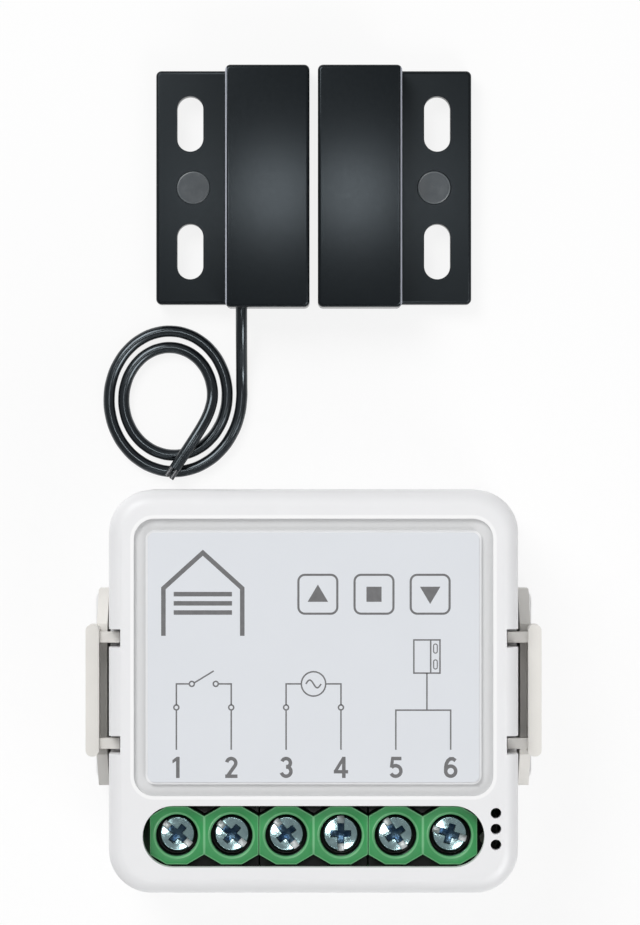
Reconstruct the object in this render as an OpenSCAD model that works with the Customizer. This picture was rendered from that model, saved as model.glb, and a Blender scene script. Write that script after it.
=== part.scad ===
// Garage door controller: a small mains module with six screw terminals, and its magnetic
// door contact, a wired reed half and a magnet half that lie beside it.
// Origin: centre of the module's back face. X right, Y towards the contact, Z out of the front.

/* [Case] */
// Width of the module's case
case_w = 38; // [37:0.5:44]
// Height of the module's case
case_h = 37.4; // [36.5:0.5:44]
// Depth of the module's case, back to front
case_d = 18; // [17.5:0.5:22]
// Radius of the case's four corners
case_corner_r = 4; // [3:0.25:6]
// Rounding of the front edge
front_edge_r = 1.5; // [0.5:0.1:2]
// Rounding of the back edge
rear_edge_r = 0.8; // [0.3:0.1:1.2]
// Thickness of the side walls
wall_t = 1.4; // [1.2:0.1:1.8]
// Thickness of the front wall
front_t = 1.6; // [1.2:0.1:2]
// Thickness of the back wall
rear_t = 1.4; // [1:0.1:2]
// Height of the rear shell, where the two shells part
parting_z = 6.5; // [6:0.25:8]
// Width of the reveal line where the two shells meet
reveal_h = 0.3; // [0.2:0.05:0.5]
// Depth of the reveal line
reveal_depth = 0.25; // [0.1:0.05:0.4]
// Gap between parts that slide into each other
slip_gap = 0.15; // [0.05:0.05:0.2]

/* [Label panel] */
// Distance from the case's side edges to the groove
groove_side = 2.35; // [2.2:0.05:4]
// Distance from the groove to the terminal window
groove_clear = 0.9; // [0.7:0.1:4]
// Corner radius of the groove's outer edge
groove_r = 1.9; // [1.5:0.1:3]
// Width of the groove
groove_gap = 1.1; // [0.6:0.1:1.3]
// Depth of the groove
groove_depth = 0.5; // [0.3:0.1:0.8]
// Distance from the case's top edge to the groove
groove_inset = 2.65; // [2.3:0.05:3]
// Thickness of the printed sheet
label_t = 0.15; // [0.1:0.05:0.25]
// Margin of the panel left around the sheet
label_margin = 0.2; // [0.1:0.1:1]

/* [Terminals] */
// Distance between neighbouring poles
pole_pitch = 5.08; // [4.8:0.04:5.08]
// Height of the terminal row's centre above the case's lower edge
terminal_inset = 5.3; // [5.1:0.05:5.4]
// Width of the gap between neighbouring blocks
block_gap = 0.06; // [0.04:0.02:0.2]
// Depth of a block, from wire side to back
block_depth = 7.4; // [7.2:0.1:8]
// Height of a block's square body above the board
block_body_h = 7.8; // [7.6:0.1:8.2]
// Length of a tower's flat, across the row
tower_len = 5.42; // [5:0.02:5.6]
// Width of a tower's end flat
tower_flat = 1.9; // [1.4:0.02:2.6]
// Length of the side where two towers meet
tower_side = 3.56; // [3:0.02:4.2]
// Gap between the towers and the front wall
tower_gap = 0.2; // [0.1:0.1:0.4]
// Diameter of the screwdriver holes
driver_hole_d = 3.9; // [3.5:0.1:4.2]
// Chamfer at the mouth of the screwdriver holes
driver_chamfer = 0.2; // [0.1:0.05:0.3]
// Margin of the front window around the row's ends
window_end_margin = 0.6; // [0.4:0.1:0.7]
// Margin of the front window above and below the row
window_side_margin = 0.14; // [0.1:0.02:0.2]
// Thickness of a block's floor
block_floor = 0.7; // [0.5:0.1:0.9]
// Thickness of the shoulder under a screw's head
shoulder_t = 0.6; // [0.5:0.05:0.8]
// Width of a wire port
port_w = 2.8; // [2:0.1:3]
// Height of a wire port
port_h = 3; // [2.4:0.1:3.2]
// Flare of a wire port's mouth, each side
port_flare = 0.4; // [0.2:0.05:0.5]
// Depth of that flare
port_flare_depth = 0.4; // [0.2:0.05:0.8]
// Height of the wire window's lower edge above the board
wire_window_low = 0.2; // [0.1:0.05:0.4]
// Room in the wire window above the ports
wire_window_high = 2; // [1:0.1:2.4]
// Diameter of a clamp screw's head
screw_head_d = 3.3; // [2.9:0.02:3.4]
// Height of a clamp screw's head
screw_head_h = 1.3; // [1:0.1:1.6]
// Chamfer of a clamp screw's head
screw_chamfer = 0.15; // [0.1:0.05:0.4]
// Diameter of a clamp screw's thread
screw_d = 2.4; // [2:0.1:2.4]
// Width of the slot in a screw's head
screw_slot_w = 0.62; // [0.4:0.02:0.7]
// Depth of the slot in a screw's head
screw_slot_depth = 0.55; // [0.4:0.05:0.7]
// Length of the cross recess
screw_cross_len = 1.9; // [1.5:0.1:2.2]
// Depth of the cross recess
screw_cross_depth = 0.8; // [0.6:0.05:0.9]
// Thickness of a clamp cage's floor and roof
cage_t = 0.6; // [0.4:0.05:0.6]
// Length of a clamp cage along its wire
cage_len = 4.3; // [3.8:0.1:4.4]
// Width that the block's walls take beside each cage
cage_side_room = 1.68; // [1.6:0.04:2]
// Clearance of a clamp cage in its room, each side
cage_clear = 0.15; // [0.1:0.01:0.2]
// Rise of a clamp cage from open to shut
cage_rise = 1.8; // [1.4:0.1:1.8]
// Thickness of a solder tongue
tongue_t = 0.7; // [0.5:0.05:0.8]
// Clearance of a tongue in its cage, each side
tongue_gap = 0.37; // [0.2:0.01:0.5]
// Width of a solder leg
leg_w = 1; // [0.8:0.05:1.2]
// Distance from a block's back to its solder legs
leg_inset = 1.1; // [1:0.05:1.2]
// Length of a solder leg below the board
leg_out = 1.2; // [0.8:0.1:1.4]

/* [Side latches] */
// Length of a latch's root
latch_len = 18.6; // [15:0.2:22]
// Thickness of a latch's plate
latch_t = 1; // [0.8:0.05:1.2]
// Gap between a latch's plate and the wall
latch_gap = 0.35; // [0.3:0.05:0.5]
// Length of the bar at a latch's head
latch_bar_len = 12.3; // [11.5:0.1:14]
// Thickness of the bar
latch_bar_t = 1.25; // [1:0.05:1.6]
// Gap between the bar and the wall
latch_bar_gap = 1; // [0.8:0.05:1.2]
// Height of the bar
latch_bar_h = 3.6; // [3.2:0.1:4]
// Depth of the bar's top below the front of the case
latch_bar_drop = 3.2; // [2.6:0.1:4]
// Flat left between the bar's rounded edges
latch_bar_flat = 0.1; // [0.05:0.05:0.4]
// Lap of the latch's plate into the bar
latch_lap = 0.4; // [0.2:0.1:1]
// Width of a hook arm
latch_arm_w = 1; // [0.8:0.05:1.2]
// Height of a hook arm
latch_arm_h = 1.8; // [1.4:0.1:2]
// Depth of the hook arms below the bar's top
latch_arm_drop = 0.4; // [0.2:0.1:1]
// Distance between the two hook arms
latch_arm_gap = 9.9; // [8:0.1:10]
// Depth of the notches in the front shell
notch_depth = 1.1; // [0.8:0.05:1.1]
// Clearance of a hook arm in its notch, each side
notch_gap = 0.35; // [0.2:0.05:0.5]
// Clearance of a hook arm above its notch's floor
notch_floor_gap = 0.2; // [0.1:0.05:0.4]
// Thickness of the ledge that carries a latch
ledge_h = 1; // [0.8:0.05:1.2]
// Radius of the ledge's corners
ledge_r = 1.2; // [0.8:0.1:1.3]
// Reach of the ledge past the latch
ledge_margin = 0.45; // [0.3:0.05:0.45]
// Height of the latch's pivot line above the back face
latch_axis_z = 1.55; // [1.4:0.05:2]

/* [Pinholes] */
// Diameter of the three pinholes
pinhole_d = 1; // [0.6:0.1:1.2]
// Distance between neighbouring pinholes
pinhole_pitch = 1.46; // [1.3:0.02:1.5]
// Distance from the case's right edge to the pinholes
pinhole_inset = 2.1; // [2:0.05:2.3]
// Height of the middle pinhole above the case's lower edge
pinhole_rise = 6; // [5.8:0.1:6.4]

/* [Main board] */
// Thickness of the main board
board_t = 1.6; // [1.2:0.2:1.6]
// Clearance between the board and the walls
board_gap = 0.3; // [0.2:0.05:0.4]
// Height of the posts that carry the board
post_h = 1.8; // [1.6:0.1:2.2]
// Diameter of those posts
post_d = 3; // [2:0.25:4]
// Length of the ribs that hold the board down
rib_len = 12; // [8:0.5:14]
// Thickness of those ribs
rib_t = 0.75; // [0.5:0.05:0.8]
// Reach of the ribs into the front shell
rib_reach = 1.3; // [0.8:0.1:2]
// Room left between components and the board's edge
part_margin = 1; // [0.95:0.05:1.1]
// Room left between neighbouring components
part_gap = 0.5; // [0.3:0.05:0.6]

/* [Relay] */
// Length of the relay
relay_l = 15.4; // [15:0.1:15.8]
// Width of the relay
relay_w = 10.4; // [10:0.1:10.8]
// Room between the relay and the front wall
relay_headroom = 1.2; // [0.8:0.1:1.6]
// Thickness of the relay's cover
relay_wall = 0.6; // [0.4:0.05:0.8]
// Thickness of the relay's base
relay_base_t = 1.4; // [1.2:0.1:1.6]
// Diameter of the relay's coil
coil_d = 6; // [5:0.1:6.4]
// Depth of the winding below its flanges
coil_lip = 0.3; // [0.2:0.05:0.5]
// Thickness of the winding's flanges
coil_flange_t = 0.5; // [0.3:0.05:0.6]
// Distance of the coil from the relay's middle
coil_shift = 2.6; // [2.4:0.1:2.8]
// Height of the coil above the relay's base
coil_lift = 0.4; // [0.3:0.05:0.5]
// Gap between the coil and the iron frame's upright
coil_gap = 0.3; // [0.2:0.05:0.4]
// Height that the core stands out of the coil
core_out = 0.3; // [0.2:0.05:0.4]
// Room between the open armature and the relay's cover
armature_room = 1; // [0.8:0.05:1.2]
// Length of the armature past the iron frame
armature_l = 8.2; // [7.8:0.1:8.4]
// Height of the armature's rounded heel above and below its plate
heel_out = 0.03; // [0.02:0.01:0.04]
// Width of the armature and the iron frame
armature_w = 5; // [4:0.1:6]
// Length of the contact leaf past the armature
leaf_l = 4.4; // [4:0.1:4.5]
// Lap of the contact leaf under the armature
leaf_lap = 2; // [1:0.1:3]
// Width of the contact leaf
leaf_w = 3; // [2:0.1:4]
// Thickness of the contact leaf
leaf_t = 0.25; // [0.15:0.05:0.3]
// Thickness of a relay contact
contact_t = 0.4; // [0.3:0.05:0.5]
// Width of the fixed contact's post
contact_post_w = 1.2; // [0.8:0.1:1.6]
// Diameter of the coil's iron core
core_d = 2.4; // [2:0.1:3]
// Thickness of the iron frame and the armature
iron_t = 0.8; // [0.6:0.05:0.9]
// Gap between the core and the open armature
armature_gap = 0.5; // [0.45:0.05:0.6]
// Gap between the open relay contacts
contact_gap = 0.65; // [0.6:0.05:0.8]
// Diameter of a relay contact
contact_d = 1.6; // [1.2:0.1:1.8]

/* [Power supply] */
// Length of the transformer's core
transformer_l = 10.4; // [9:0.2:11]
// Width of the transformer's core
transformer_w = 9.6; // [8.8:0.2:10]
// Height of the transformer's core
transformer_h = 9; // [8:0.2:10]
// Height of the winding above the transformer's core
winding_over = 0.8; // [0.4:0.1:1]
// Width of a leg of the transformer's core
transformer_leg = 2; // [1.6:0.1:2.2]
// Diameter of the input capacitor
input_cap_d = 6.3; // [5:0.1:6.5]
// Room between the input capacitor and the front wall
input_cap_headroom = 0.8; // [0.6:0.1:3]
// Room between the output capacitor and the relay
output_cap_room = 2.9; // [2.7:0.1:3.9]
// Height of the output capacitor
output_cap_h = 9; // [7:0.2:10]
// Diameter of the varistor's disc
varistor_d = 7; // [5:0.25:7.5]
// Depth of the flat that the varistor stands on
varistor_flat = 0.4; // [0.2:0.05:0.6]
// Thickness of the varistor's disc
varistor_t = 3.2; // [2.4:0.1:3.4]
// Length of the fuse resistor
fuse_l = 6.2; // [5:0.1:6.4]
// Diameter of the fuse resistor
fuse_d = 2.3; // [1.8:0.1:2.4]
// Length of the bridge rectifier
bridge_l = 4.7; // [4:0.1:4.8]
// Width of the bridge rectifier
bridge_w = 3.9; // [3:0.1:4]
// Height of the surface mounted chips
chip_h = 1.6; // [1.2:0.1:2]
// Side of the converter chip
chip_w = 3.9; // [3:0.1:4]

/* [Radio] */
// Gap between the relay and the radio board
radio_gap = 2.2; // [2:0.1:3]
// Gap between the fuse resistor and the radio board
radio_clear = 1.5; // [1.3:0.1:3]
// Thickness of the radio board
radio_t = 0.8; // [0.6:0.1:1]
// Margin of the radio board beside the shield can
shield_margin = 1; // [0.75:0.05:2.5]
// Length of the radio board left free for its aerial and its lower edge
aerial_len = 6.2; // [5.6:0.2:8]
// Thickness of the shield can
shield_t = 2.2; // [1.6:0.1:2.6]

/* [Pairing switch and light] */
// Width of the pairing switch
switch_w = 1.8; // [1.4:0.05:1.8]
// Length of the pairing switch
switch_l = 3.6; // [3:0.1:3.6]
// Height of the pairing switch's body
switch_h = 2.6; // [2:0.1:3.5]
// Distance of the switch and the light from the pinholes, towards the middle
switch_shift = 0.65; // [0.55:0.05:0.7]
// Diameter of the plunger
plunger_d = 1.2; // [0.8:0.05:1.3]
// Height that the plunger stands out of the switch
plunger_out = 0.9; // [0.6:0.05:1.2]
// Depth of the plunger's bore in the switch
plunger_bore = 1.4; // [1:0.1:1.8]
// Free room under the plunger
plunger_play = 0.4; // [0.35:0.05:0.6]
// Length of the status light
light_l = 1.6; // [1.2:0.1:1.7]
// Width of the status light
light_w = 0.8; // [0.6:0.05:1]
// Height of the status light
light_h = 0.7; // [0.5:0.05:1]

/* [Door contact] */
// Length of each half's raised body
contact_len = 23; // [22:0.25:28]
// Width of each half's raised body
contact_w = 8; // [7.6:0.1:10]
// Height of each half's raised body
contact_h = 6; // [5.8:0.1:8]
// Width of each half's flange beyond the body
flange_w = 6.65; // [6:0.05:9]
// Length of each flange
flange_len = 22.3; // [21:0.1:22.4]
// Part of the body's wall that a flange's root leaves free
flange_root_gap = 0.1; // [0.05:0.05:0.2]
// Thickness of each flange
flange_t = 2.2; // [1.5:0.1:3]
// Rounding of the contact halves' top edges
contact_edge_r = 0.3; // [0.1:0.05:0.4]
// Radius of the contact halves' corners
contact_corner_r = 0.5; // [0.45:0.05:0.7]
// Thickness of the contact halves' walls
contact_wall = 0.75; // [0.6:0.05:0.8]
// Thickness of the contact halves' tops
contact_top_t = 1; // [0.8:0.1:1.2]
// Thickness of the base plates
base_t = 1; // [0.8:0.1:1.2]
// Width of the fixing slots
slot_w = 2.5; // [2:0.1:3.2]
// Length of the fixing slots
slot_len = 5.3; // [4:0.1:6]
// Distance between the fixing slots
slot_pitch = 12.2; // [10:0.1:13]
// Distance from the flange's outer edge to the fixing slots
slot_inset = 3.25; // [2.5:0.05:3.5]
// Diameter of the round mark between the slots
mark_d = 3.2; // [2:0.1:4]
// Depth of that mark
mark_depth = 0.25; // [0.1:0.05:0.5]
// Distance of the mark from the slots' line, towards the body
mark_shift = 0.3; // [0:0.1:0.6]
// Gap between the two halves at rest
pair_gap = 0.8; // [0.6:0.1:2]
// Distance of the contact halves from the module
contact_stand_off = 17.3; // [17.3:0.1:24]
// Diameter of the reed's glass capsule
capsule_d = 2; // [1.8:0.1:2.2]
// Length of the reed's glass capsule
capsule_len = 13; // [11:0.2:14]
// Thickness of the capsule's glass
glass_t = 0.25; // [0.2:0.05:0.3]
// Length of the capsule's sealed ends
seal_len = 1; // [0.8:0.1:1.2]
// Height of the capsule's middle above the base plate
capsule_lift = 2.1; // [2:0.05:2.2]
// Distance from the capsule's ends to the saddles
saddle_inset = 2.6; // [1.5:0.1:3]
// Width of a saddle under the capsule
saddle_w = 3; // [2.4:0.1:4]
// Thickness of a saddle
saddle_t = 1.5; // [1:0.1:2]
// Diameter of the reed's leads
lead_d = 0.5; // [0.4:0.05:0.55]
// Length of a reed lead outside the glass
lead_out = 2; // [1.5:0.1:2.5]
// Thickness of a reed blade
blade_t = 0.2; // [0.15:0.05:0.25]
// Width of a reed blade
blade_w = 0.9; // [0.6:0.05:1]
// Gap between the two reed blades
blade_gap = 0.05; // [0.03:0.01:0.08]
// Overlap of the two reed blades
blade_overlap = 1.6; // [1:0.1:2.4]
// Thickness of the magnet
magnet_t = 3.8; // [3:0.1:3.9]
// Width of the magnet
magnet_w = 4; // [3:0.1:5]
// Thickness and height of the ribs at the magnet's ends
magnet_rib = 1; // [0.6:0.1:1.2]
// Length of the magnet
magnet_len = 17; // [12:0.25:18]

/* [Cable] */
// Diameter of the sensor cable
cable_d = 1.1; // [1:0.05:1.3]
// Distance of the cable's exit from the body's flange side
cable_inset = 1.5; // [1.4:0.05:2]
// Height of the cable's exit above the table
cable_exit_z = 2.4; // [2.2:0.1:3]
// Clearance of the cable in its hole
cable_gap = 0.1; // [0.05:0.01:0.15]
// Diameter of a core at the cut end
core_wire_d = 0.44; // [0.3:0.02:0.5]
// Length of bare core past the cut end
core_wire_out = 1; // [0.8:0.1:1.4]
// Diameter of the wires inside the wired half
inner_wire_d = 0.5; // [0.4:0.05:0.55]

/* [Hidden] */
pole_count = 6;
poles_per_block = 2;
block_count = pole_count / poles_per_block;
pole_numbers = [1 : pole_count];
$fn = 64;
// Overlap of a cutting body past the face that it cuts
cut = 1;
// Running clearance of pins and threads, on the radius
run_gap = 0.06;
// Gap between a loose piece and what it rests on
seat_gap = 0.05;

// Derived case values
half_w = case_w / 2;
half_h = case_h / 2;
inner_w = case_w - 2 * wall_t;
inner_h = case_h - 2 * wall_t;
inner_r = case_corner_r - wall_t;
cavity_top = case_d - front_t;
front_h = case_d - parting_z;
groove_w = case_w - 2 * groove_side;
window_h = tower_len + 2 * window_side_margin;
groove_h = case_h - groove_inset - groove_clear - window_h / 2 - terminal_inset;
panel_w = groove_w - 2 * groove_gap;
panel_h = groove_h - 2 * groove_gap;
panel_r = groove_r - groove_gap;
panel_y = half_h - groove_inset - groove_h / 2;
board_z = rear_t + post_h;
board_top = board_z + board_t;
board_w = inner_w - 2 * board_gap;
board_h = inner_h - 2 * board_gap;

// Derived terminal values
terminal_y = terminal_inset - half_h;
row_w = pole_count * pole_pitch;
block_w = poles_per_block * pole_pitch - block_gap;
block_y0 = wall_t + board_gap - half_h;
block_y1 = block_y0 + block_depth;
body_top = board_top + block_body_h;
tower_top = cavity_top - tower_gap;
shoulder_z = body_top + seat_gap;
cage_z = board_top + block_floor + cage_clear;
cage_roof = body_top - shoulder_t;
cage_h = cage_roof - cage_rise - seat_gap - cage_z;
cage_w = pole_pitch - cage_side_room;
cage_open_w = screw_d + 4 * run_gap;
cage_room_w = cage_w + 2 * cage_clear;
cage_room_len = cage_len + 2 * cage_clear;
tongue_top = cage_z + cage_h - cage_t - seat_gap;
tongue_w = cage_open_w - 2 * tongue_gap;
leg_y = block_y1 - leg_inset;
leg_t = tongue_t;
port_z = cage_z + cage_t;
wire_window_z0 = board_top + wire_window_low;
wire_window_z1 = port_z + port_h + wire_window_high;
// Rest angle of each screw's slot
screw_angles = [-40, -40, -52, 90, -56, -17];

// Derived latch values
latch_x = half_w + latch_gap + latch_t / 2;
bead_r = latch_t / 2 + run_gap;
ledge_reach = latch_x + latch_t / 2 + ledge_margin;
bar_x = half_w + latch_bar_gap + latch_bar_t / 2;
bar_r = (latch_bar_t - latch_bar_flat) / 2;
bar_z1 = case_d - latch_bar_drop;
bar_z0 = bar_z1 - latch_bar_h;
arm_z0 = bar_z1 - latch_arm_drop - latch_arm_h;
arm_tip_x = half_w - notch_depth + notch_gap / 2;
latch_neck_z = bar_z0 + latch_lap;

// Derived board layout
pinhole_x = half_w - pinhole_inset;
pinhole_y = pinhole_rise - half_h;
switch_x = pinhole_x - switch_shift;
switch_y = pinhole_y - pinhole_pitch;
light_y = pinhole_y + pinhole_pitch;
plunger_len = plunger_out + plunger_bore - plunger_play;
relay_x = part_margin + relay_l / 2 - board_w / 2;
relay_y = board_h / 2 - part_margin - relay_w / 2;
transformer_x = part_margin + transformer_l / 2 - board_w / 2;
transformer_y = block_y1 + part_gap + transformer_w / 2;
input_cap_h = cavity_top - board_top - input_cap_headroom;
input_cap_x = transformer_x + transformer_l / 2 + part_gap + input_cap_d / 2;
input_cap_y = block_y1 + part_gap + input_cap_d / 2;
output_cap_x = input_cap_x;
output_cap_d = relay_y - relay_w / 2 - input_cap_y - input_cap_d / 2 - part_gap - output_cap_room;
output_cap_y = input_cap_y + input_cap_d / 2 + part_gap + output_cap_d / 2;
varistor_x = input_cap_x + input_cap_d / 2 + part_gap + varistor_d / 2;
varistor_y = block_y1 + part_gap + varistor_t / 2;
fuse_x = input_cap_x + input_cap_d / 2 + part_gap + fuse_l / 2;
fuse_y = varistor_y + varistor_t / 2 + part_gap + fuse_d / 2;
bridge_x = varistor_x + varistor_d / 2 + part_gap + bridge_w / 2;
bridge_y = block_y1 + part_gap + bridge_l / 2;
chip_z = board_z - chip_h;
radio_w = board_w - 2 * part_margin - relay_l - radio_gap;
radio_h = board_h / 2 - part_margin - fuse_y - fuse_d / 2 - radio_clear;
radio_x = board_w / 2 - part_margin - radio_w / 2;
radio_y = board_h / 2 - part_margin - radio_h / 2;
shield_w = radio_w - 2 * shield_margin;
shield_h = radio_h - aerial_len;

// Derived relay values, in the relay's own frame
relay_h = cavity_top - board_top - relay_headroom;
coil_x = -coil_shift;
coil_z = relay_base_t + coil_lift;
core_top = relay_h - relay_wall - armature_room - iron_t - armature_gap;
coil_h = core_top - core_out - coil_z;
armature_z = core_top + armature_gap;
frame_x = coil_x - coil_d / 2 - coil_gap - iron_t / 2;
contact_x = frame_x + iron_t / 2 + armature_l + leaf_l - contact_d;

// Derived contact values
contact_y0 = half_h + contact_stand_off;
contact_mid_y = contact_y0 + contact_len / 2;
body_x = pair_gap / 2 + contact_w / 2;
body_outer_x = pair_gap / 2 + contact_w;
flange_outer_x = body_outer_x + flange_w;
flange_root = contact_wall - flange_root_gap;
slot_x = flange_outer_x - slot_inset;
mark_x = slot_x - mark_shift;
room_w = contact_w - 2 * contact_wall;
room_len = contact_len - 2 * contact_wall;
room_top = contact_h - contact_top_t;
capsule_z = base_t + capsule_lift;
saddle_shift = capsule_len / 2 - saddle_inset;
blade_root = capsule_len / 2 - seal_len;
blade_len = blade_root + blade_overlap / 2;

// Derived cable values
cable_r = cable_d / 2;
cable_rest_z = cable_r + seat_gap;
cable_exit = [cable_inset - body_outer_x, contact_y0, cable_exit_z];
cable_drop = cable_exit.z - cable_rest_z;
cable_sides = 8;

// Lead from inside the wired half to the table: distances past its exit with shares of its drop
lead_steps = [
  [-2, 0], [0, 0], [1.2, 0.02], [2.5, 0.14], [3.8, 0.39], [5, 0.67], [6.2, 0.89], [7.4, 0.99]
];
lead_route = [
  for (s = lead_steps) [cable_exit.x, cable_exit.y - s[0], cable_exit.z - s[1] * cable_drop]
];

// The coil: two flat turns that spiral in, the last of them climbing towards the tail
turn_r = 6.7;
turn_drop = 8.5;
turn_gap = 0.3;
turn_step = cable_d + turn_gap;
turn_stretch = 1.12;
turn_count = 2;
turn_rings = 24;
turn_centre = [cable_exit.x - turn_r, cable_exit.y - turn_drop];
climb_from = 1.8;
climb_share = 0.36;
climb_h = climb_share * cable_d;

// Tail over both turns: places from the coil's centre with heights in cable diameters
tail_steps = [
  [3.74, -0.9, 0.55], [3.4, -1.85, 0.78], [2.88, -2.85, 1], [2.27, -3.85, 1.15],
  [1.62, -4.85, 1.2], [0.96, -5.85, 1.2], [0.3, -6.85, 1.2]
];
tail_route = [
  for (s = tail_steps) [turn_centre.x + s[0], turn_centre.y + s[1], cable_rest_z + s[2] * cable_d]
];

// Centre of pole i, counted from 1
function pole_x(i) = (i - (pole_count + 1) / 2) * pole_pitch;
// Centre of block k, counted from 1
function block_x(k) = (k - (block_count + 1) / 2) * poles_per_block * pole_pitch;
function unit(v) = v / norm(v);

// Point of the coil at a number of turns from its start
function turn_point(t) =
  let (
    r = turn_r - turn_step * t,
    u = max(0, (t - climb_from) / (turn_count - climb_from)),
    z = cable_rest_z + climb_h * u * u
  )
  [turn_centre.x + r * cos(360 * t), turn_centre.y - r * turn_stretch * sin(360 * t), z];

// Middle line of the whole cable, with a number of rings in each turn
function cable_line(rings) = concat(
  lead_route,
  [for (i = [0 : turn_count * rings]) turn_point(i / rings)],
  tail_route
);

// Direction of a line at its point i
function heading(line, i) = unit(line[min(i + 1, len(line) - 1)] - line[max(i - 1, 0)]);

// Ring of a tube round point i of a line
function ring(line, i, r, sides) =
  let (
    along = heading(line, i),
    side = unit(cross([0, 0, 1], along)),
    up = cross(along, side)
  )
  [for (k = [0 : sides - 1]) line[i] + r * (cos(360 * k / sides) * side + sin(360 * k / sides) * up)];

// Distance from point p to the segment from a to b
function segment_gap(p, a, b) =
  let (along = b - a, share = max(0, min(1, (p - a) * along / (along * along))))
  norm(p - a - share * along);

// Least distance between stretches of a line that lie more than a number of points apart
function line_gap(line, apart) = min([
  for (i = [0 : len(line) - 1], j = [0 : len(line) - 2])
    if (abs(i - j) > apart) segment_gap(line[i], line[j], line[j + 1])
]);

// Rectangle with rounded corners, centred
module rounded_rect(w, h, r) {
  square([w - 2 * r, h], center = true);
  square([w, h - 2 * r], center = true);
  for (x = [-1, 1], y = [-1, 1])
    translate([x * (w / 2 - r), y * (h / 2 - r)])
      circle(r);
}

// Upright prism over a rounded rectangle, standing on z = 0
module rounded_prism(w, h, r, z) {
  linear_extrude(z)
    rounded_rect(w, h, r);
}

// Half section of a slab whose top edge is rounded
module slab_section(r, edge_r, z) {
  square([r - edge_r, z]);
  square([r, z - edge_r]);
  translate([r - edge_r, z - edge_r])
    intersection() {
      circle(edge_r);
      square(edge_r);
    }
}

// Slab with rounded corners and a rounded top edge, standing on z = 0
module soft_slab(w, h, z, r, edge_r) {
  plate([w - 2 * r, h - 2 * r, z]);
  for (turn = [0, 180])
    rotate(turn) {
      translate([w / 2 - r, h / 2 - r, 0])
        rotate([90, 0, 0])
          linear_extrude(h - 2 * r)
            slab_section(r, edge_r, z);
      translate([r - w / 2, h / 2 - r, 0])
        rotate([90, 0, 90])
          linear_extrude(w - 2 * r)
            slab_section(r, edge_r, z);
      translate([w / 2 - r, h / 2 - r, 0])
        rotate_extrude(angle = 90)
          slab_section(r, edge_r, z);
      translate([r - w / 2, h / 2 - r, 0])
        rotate(90)
          rotate_extrude(angle = 90)
            slab_section(r, edge_r, z);
    }
}

// Box centred in X and Y, standing on z = 0
module plate(size) {
  translate([-size.x / 2, -size.y / 2, 0])
    cube(size);
}

// Slot with round ends along Y, standing on z = 0
module round_slot(w, length, z) {
  plate([w, length - w, z]);
  for (s = [-1, 1])
    translate([0, s * (length - w) / 2, 0])
      cylinder(d = w, h = z);
}

// Round rod from point a to point b
module rod(a, b, d) {
  along = b - a;
  translate(a)
    rotate([0, acos(along.z / norm(along)), atan2(along.y, along.x)])
      cylinder(d = d, h = norm(along));
}

// Front shell: the white cap with its label groove, terminal window and latch notches
module front_shell() {
  color("whitesmoke")
    difference() {
      translate([0, 0, parting_z])
        soft_slab(case_w, case_h, front_h, case_corner_r, front_edge_r);
      translate([0, 0, parting_z - cut])
        rounded_prism(inner_w, inner_h, inner_r, cavity_top - parting_z + cut);
      reveal_line();
      label_groove();
      terminal_window();
      wire_window();
      for (i = [-1, 0, 1])
        translate([pinhole_x, pinhole_y + i * pinhole_pitch, cavity_top - cut])
          cylinder(d = pinhole_d, h = front_t + 2 * cut);
      for (x = [-1, 1], y = [-1, 1])
        translate([
          x * (half_w - notch_depth + case_w / 2),
          y * latch_arm_gap / 2,
          arm_z0 - notch_floor_gap
        ])
          plate([case_w, latch_arm_w + 2 * notch_gap, case_d]);
    }
}

// Step round the front shell's lower edge
module reveal_line() {
  translate([0, 0, parting_z - cut])
    difference() {
      rounded_prism(case_w + 2 * cut, case_h + 2 * cut, case_corner_r + cut, reveal_h + cut);
      translate([0, 0, -cut])
        rounded_prism(
          case_w - 2 * reveal_depth,
          case_h - 2 * reveal_depth,
          case_corner_r - reveal_depth,
          reveal_h + 3 * cut
        );
    }
}

// Groove round the label panel, and the shallow seat of the sheet
module label_groove() {
  translate([0, panel_y, case_d - groove_depth])
    difference() {
      rounded_prism(groove_w, groove_h, groove_r, groove_depth + cut);
      translate([0, 0, -cut])
        rounded_prism(panel_w, panel_h, panel_r, groove_depth + 3 * cut);
    }
  translate([0, panel_y, case_d - label_t])
    rounded_prism(panel_w + groove_gap, panel_h + groove_gap, panel_r, label_t + cut);
}

// Window in the front wall over the terminal towers
module terminal_window() {
  translate([0, terminal_y, cavity_top - cut])
    rotate(90)
      round_slot(window_h, row_w + 2 * window_end_margin, front_t + 2 * cut);
}

// Window in the lower wall in front of the wire ports
module wire_window() {
  translate([0, -half_h, wire_window_z0])
    plate([row_w + 2 * slip_gap, 2 * wall_t + cut, wire_window_z1 - wire_window_z0]);
}

// Rear shell: the tray that carries the board, with the ledges of the side latches
module rear_shell() {
  color("whitesmoke")
    difference() {
      union() {
        difference() {
          translate([0, 0, parting_z])
            rotate([180, 0, 0])
              soft_slab(case_w, case_h, parting_z, case_corner_r, rear_edge_r);
          translate([0, 0, rear_t])
            rounded_prism(inner_w, inner_h, inner_r, parting_z);
        }
        board_posts();
        board_ribs();
        for (s = [0, 1])
          mirror([s, 0, 0])
            latch_ledge();
      }
      wire_window();
    }
}

// Posts under the board's corners
module board_posts() {
  for (x = [-1, 1], y = [-1, 1])
    translate([x * (board_w / 2 - inner_r), y * (board_h / 2 - inner_r), rear_t - seat_gap])
      cylinder(d = post_d, h = post_h + seat_gap);
}

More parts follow.
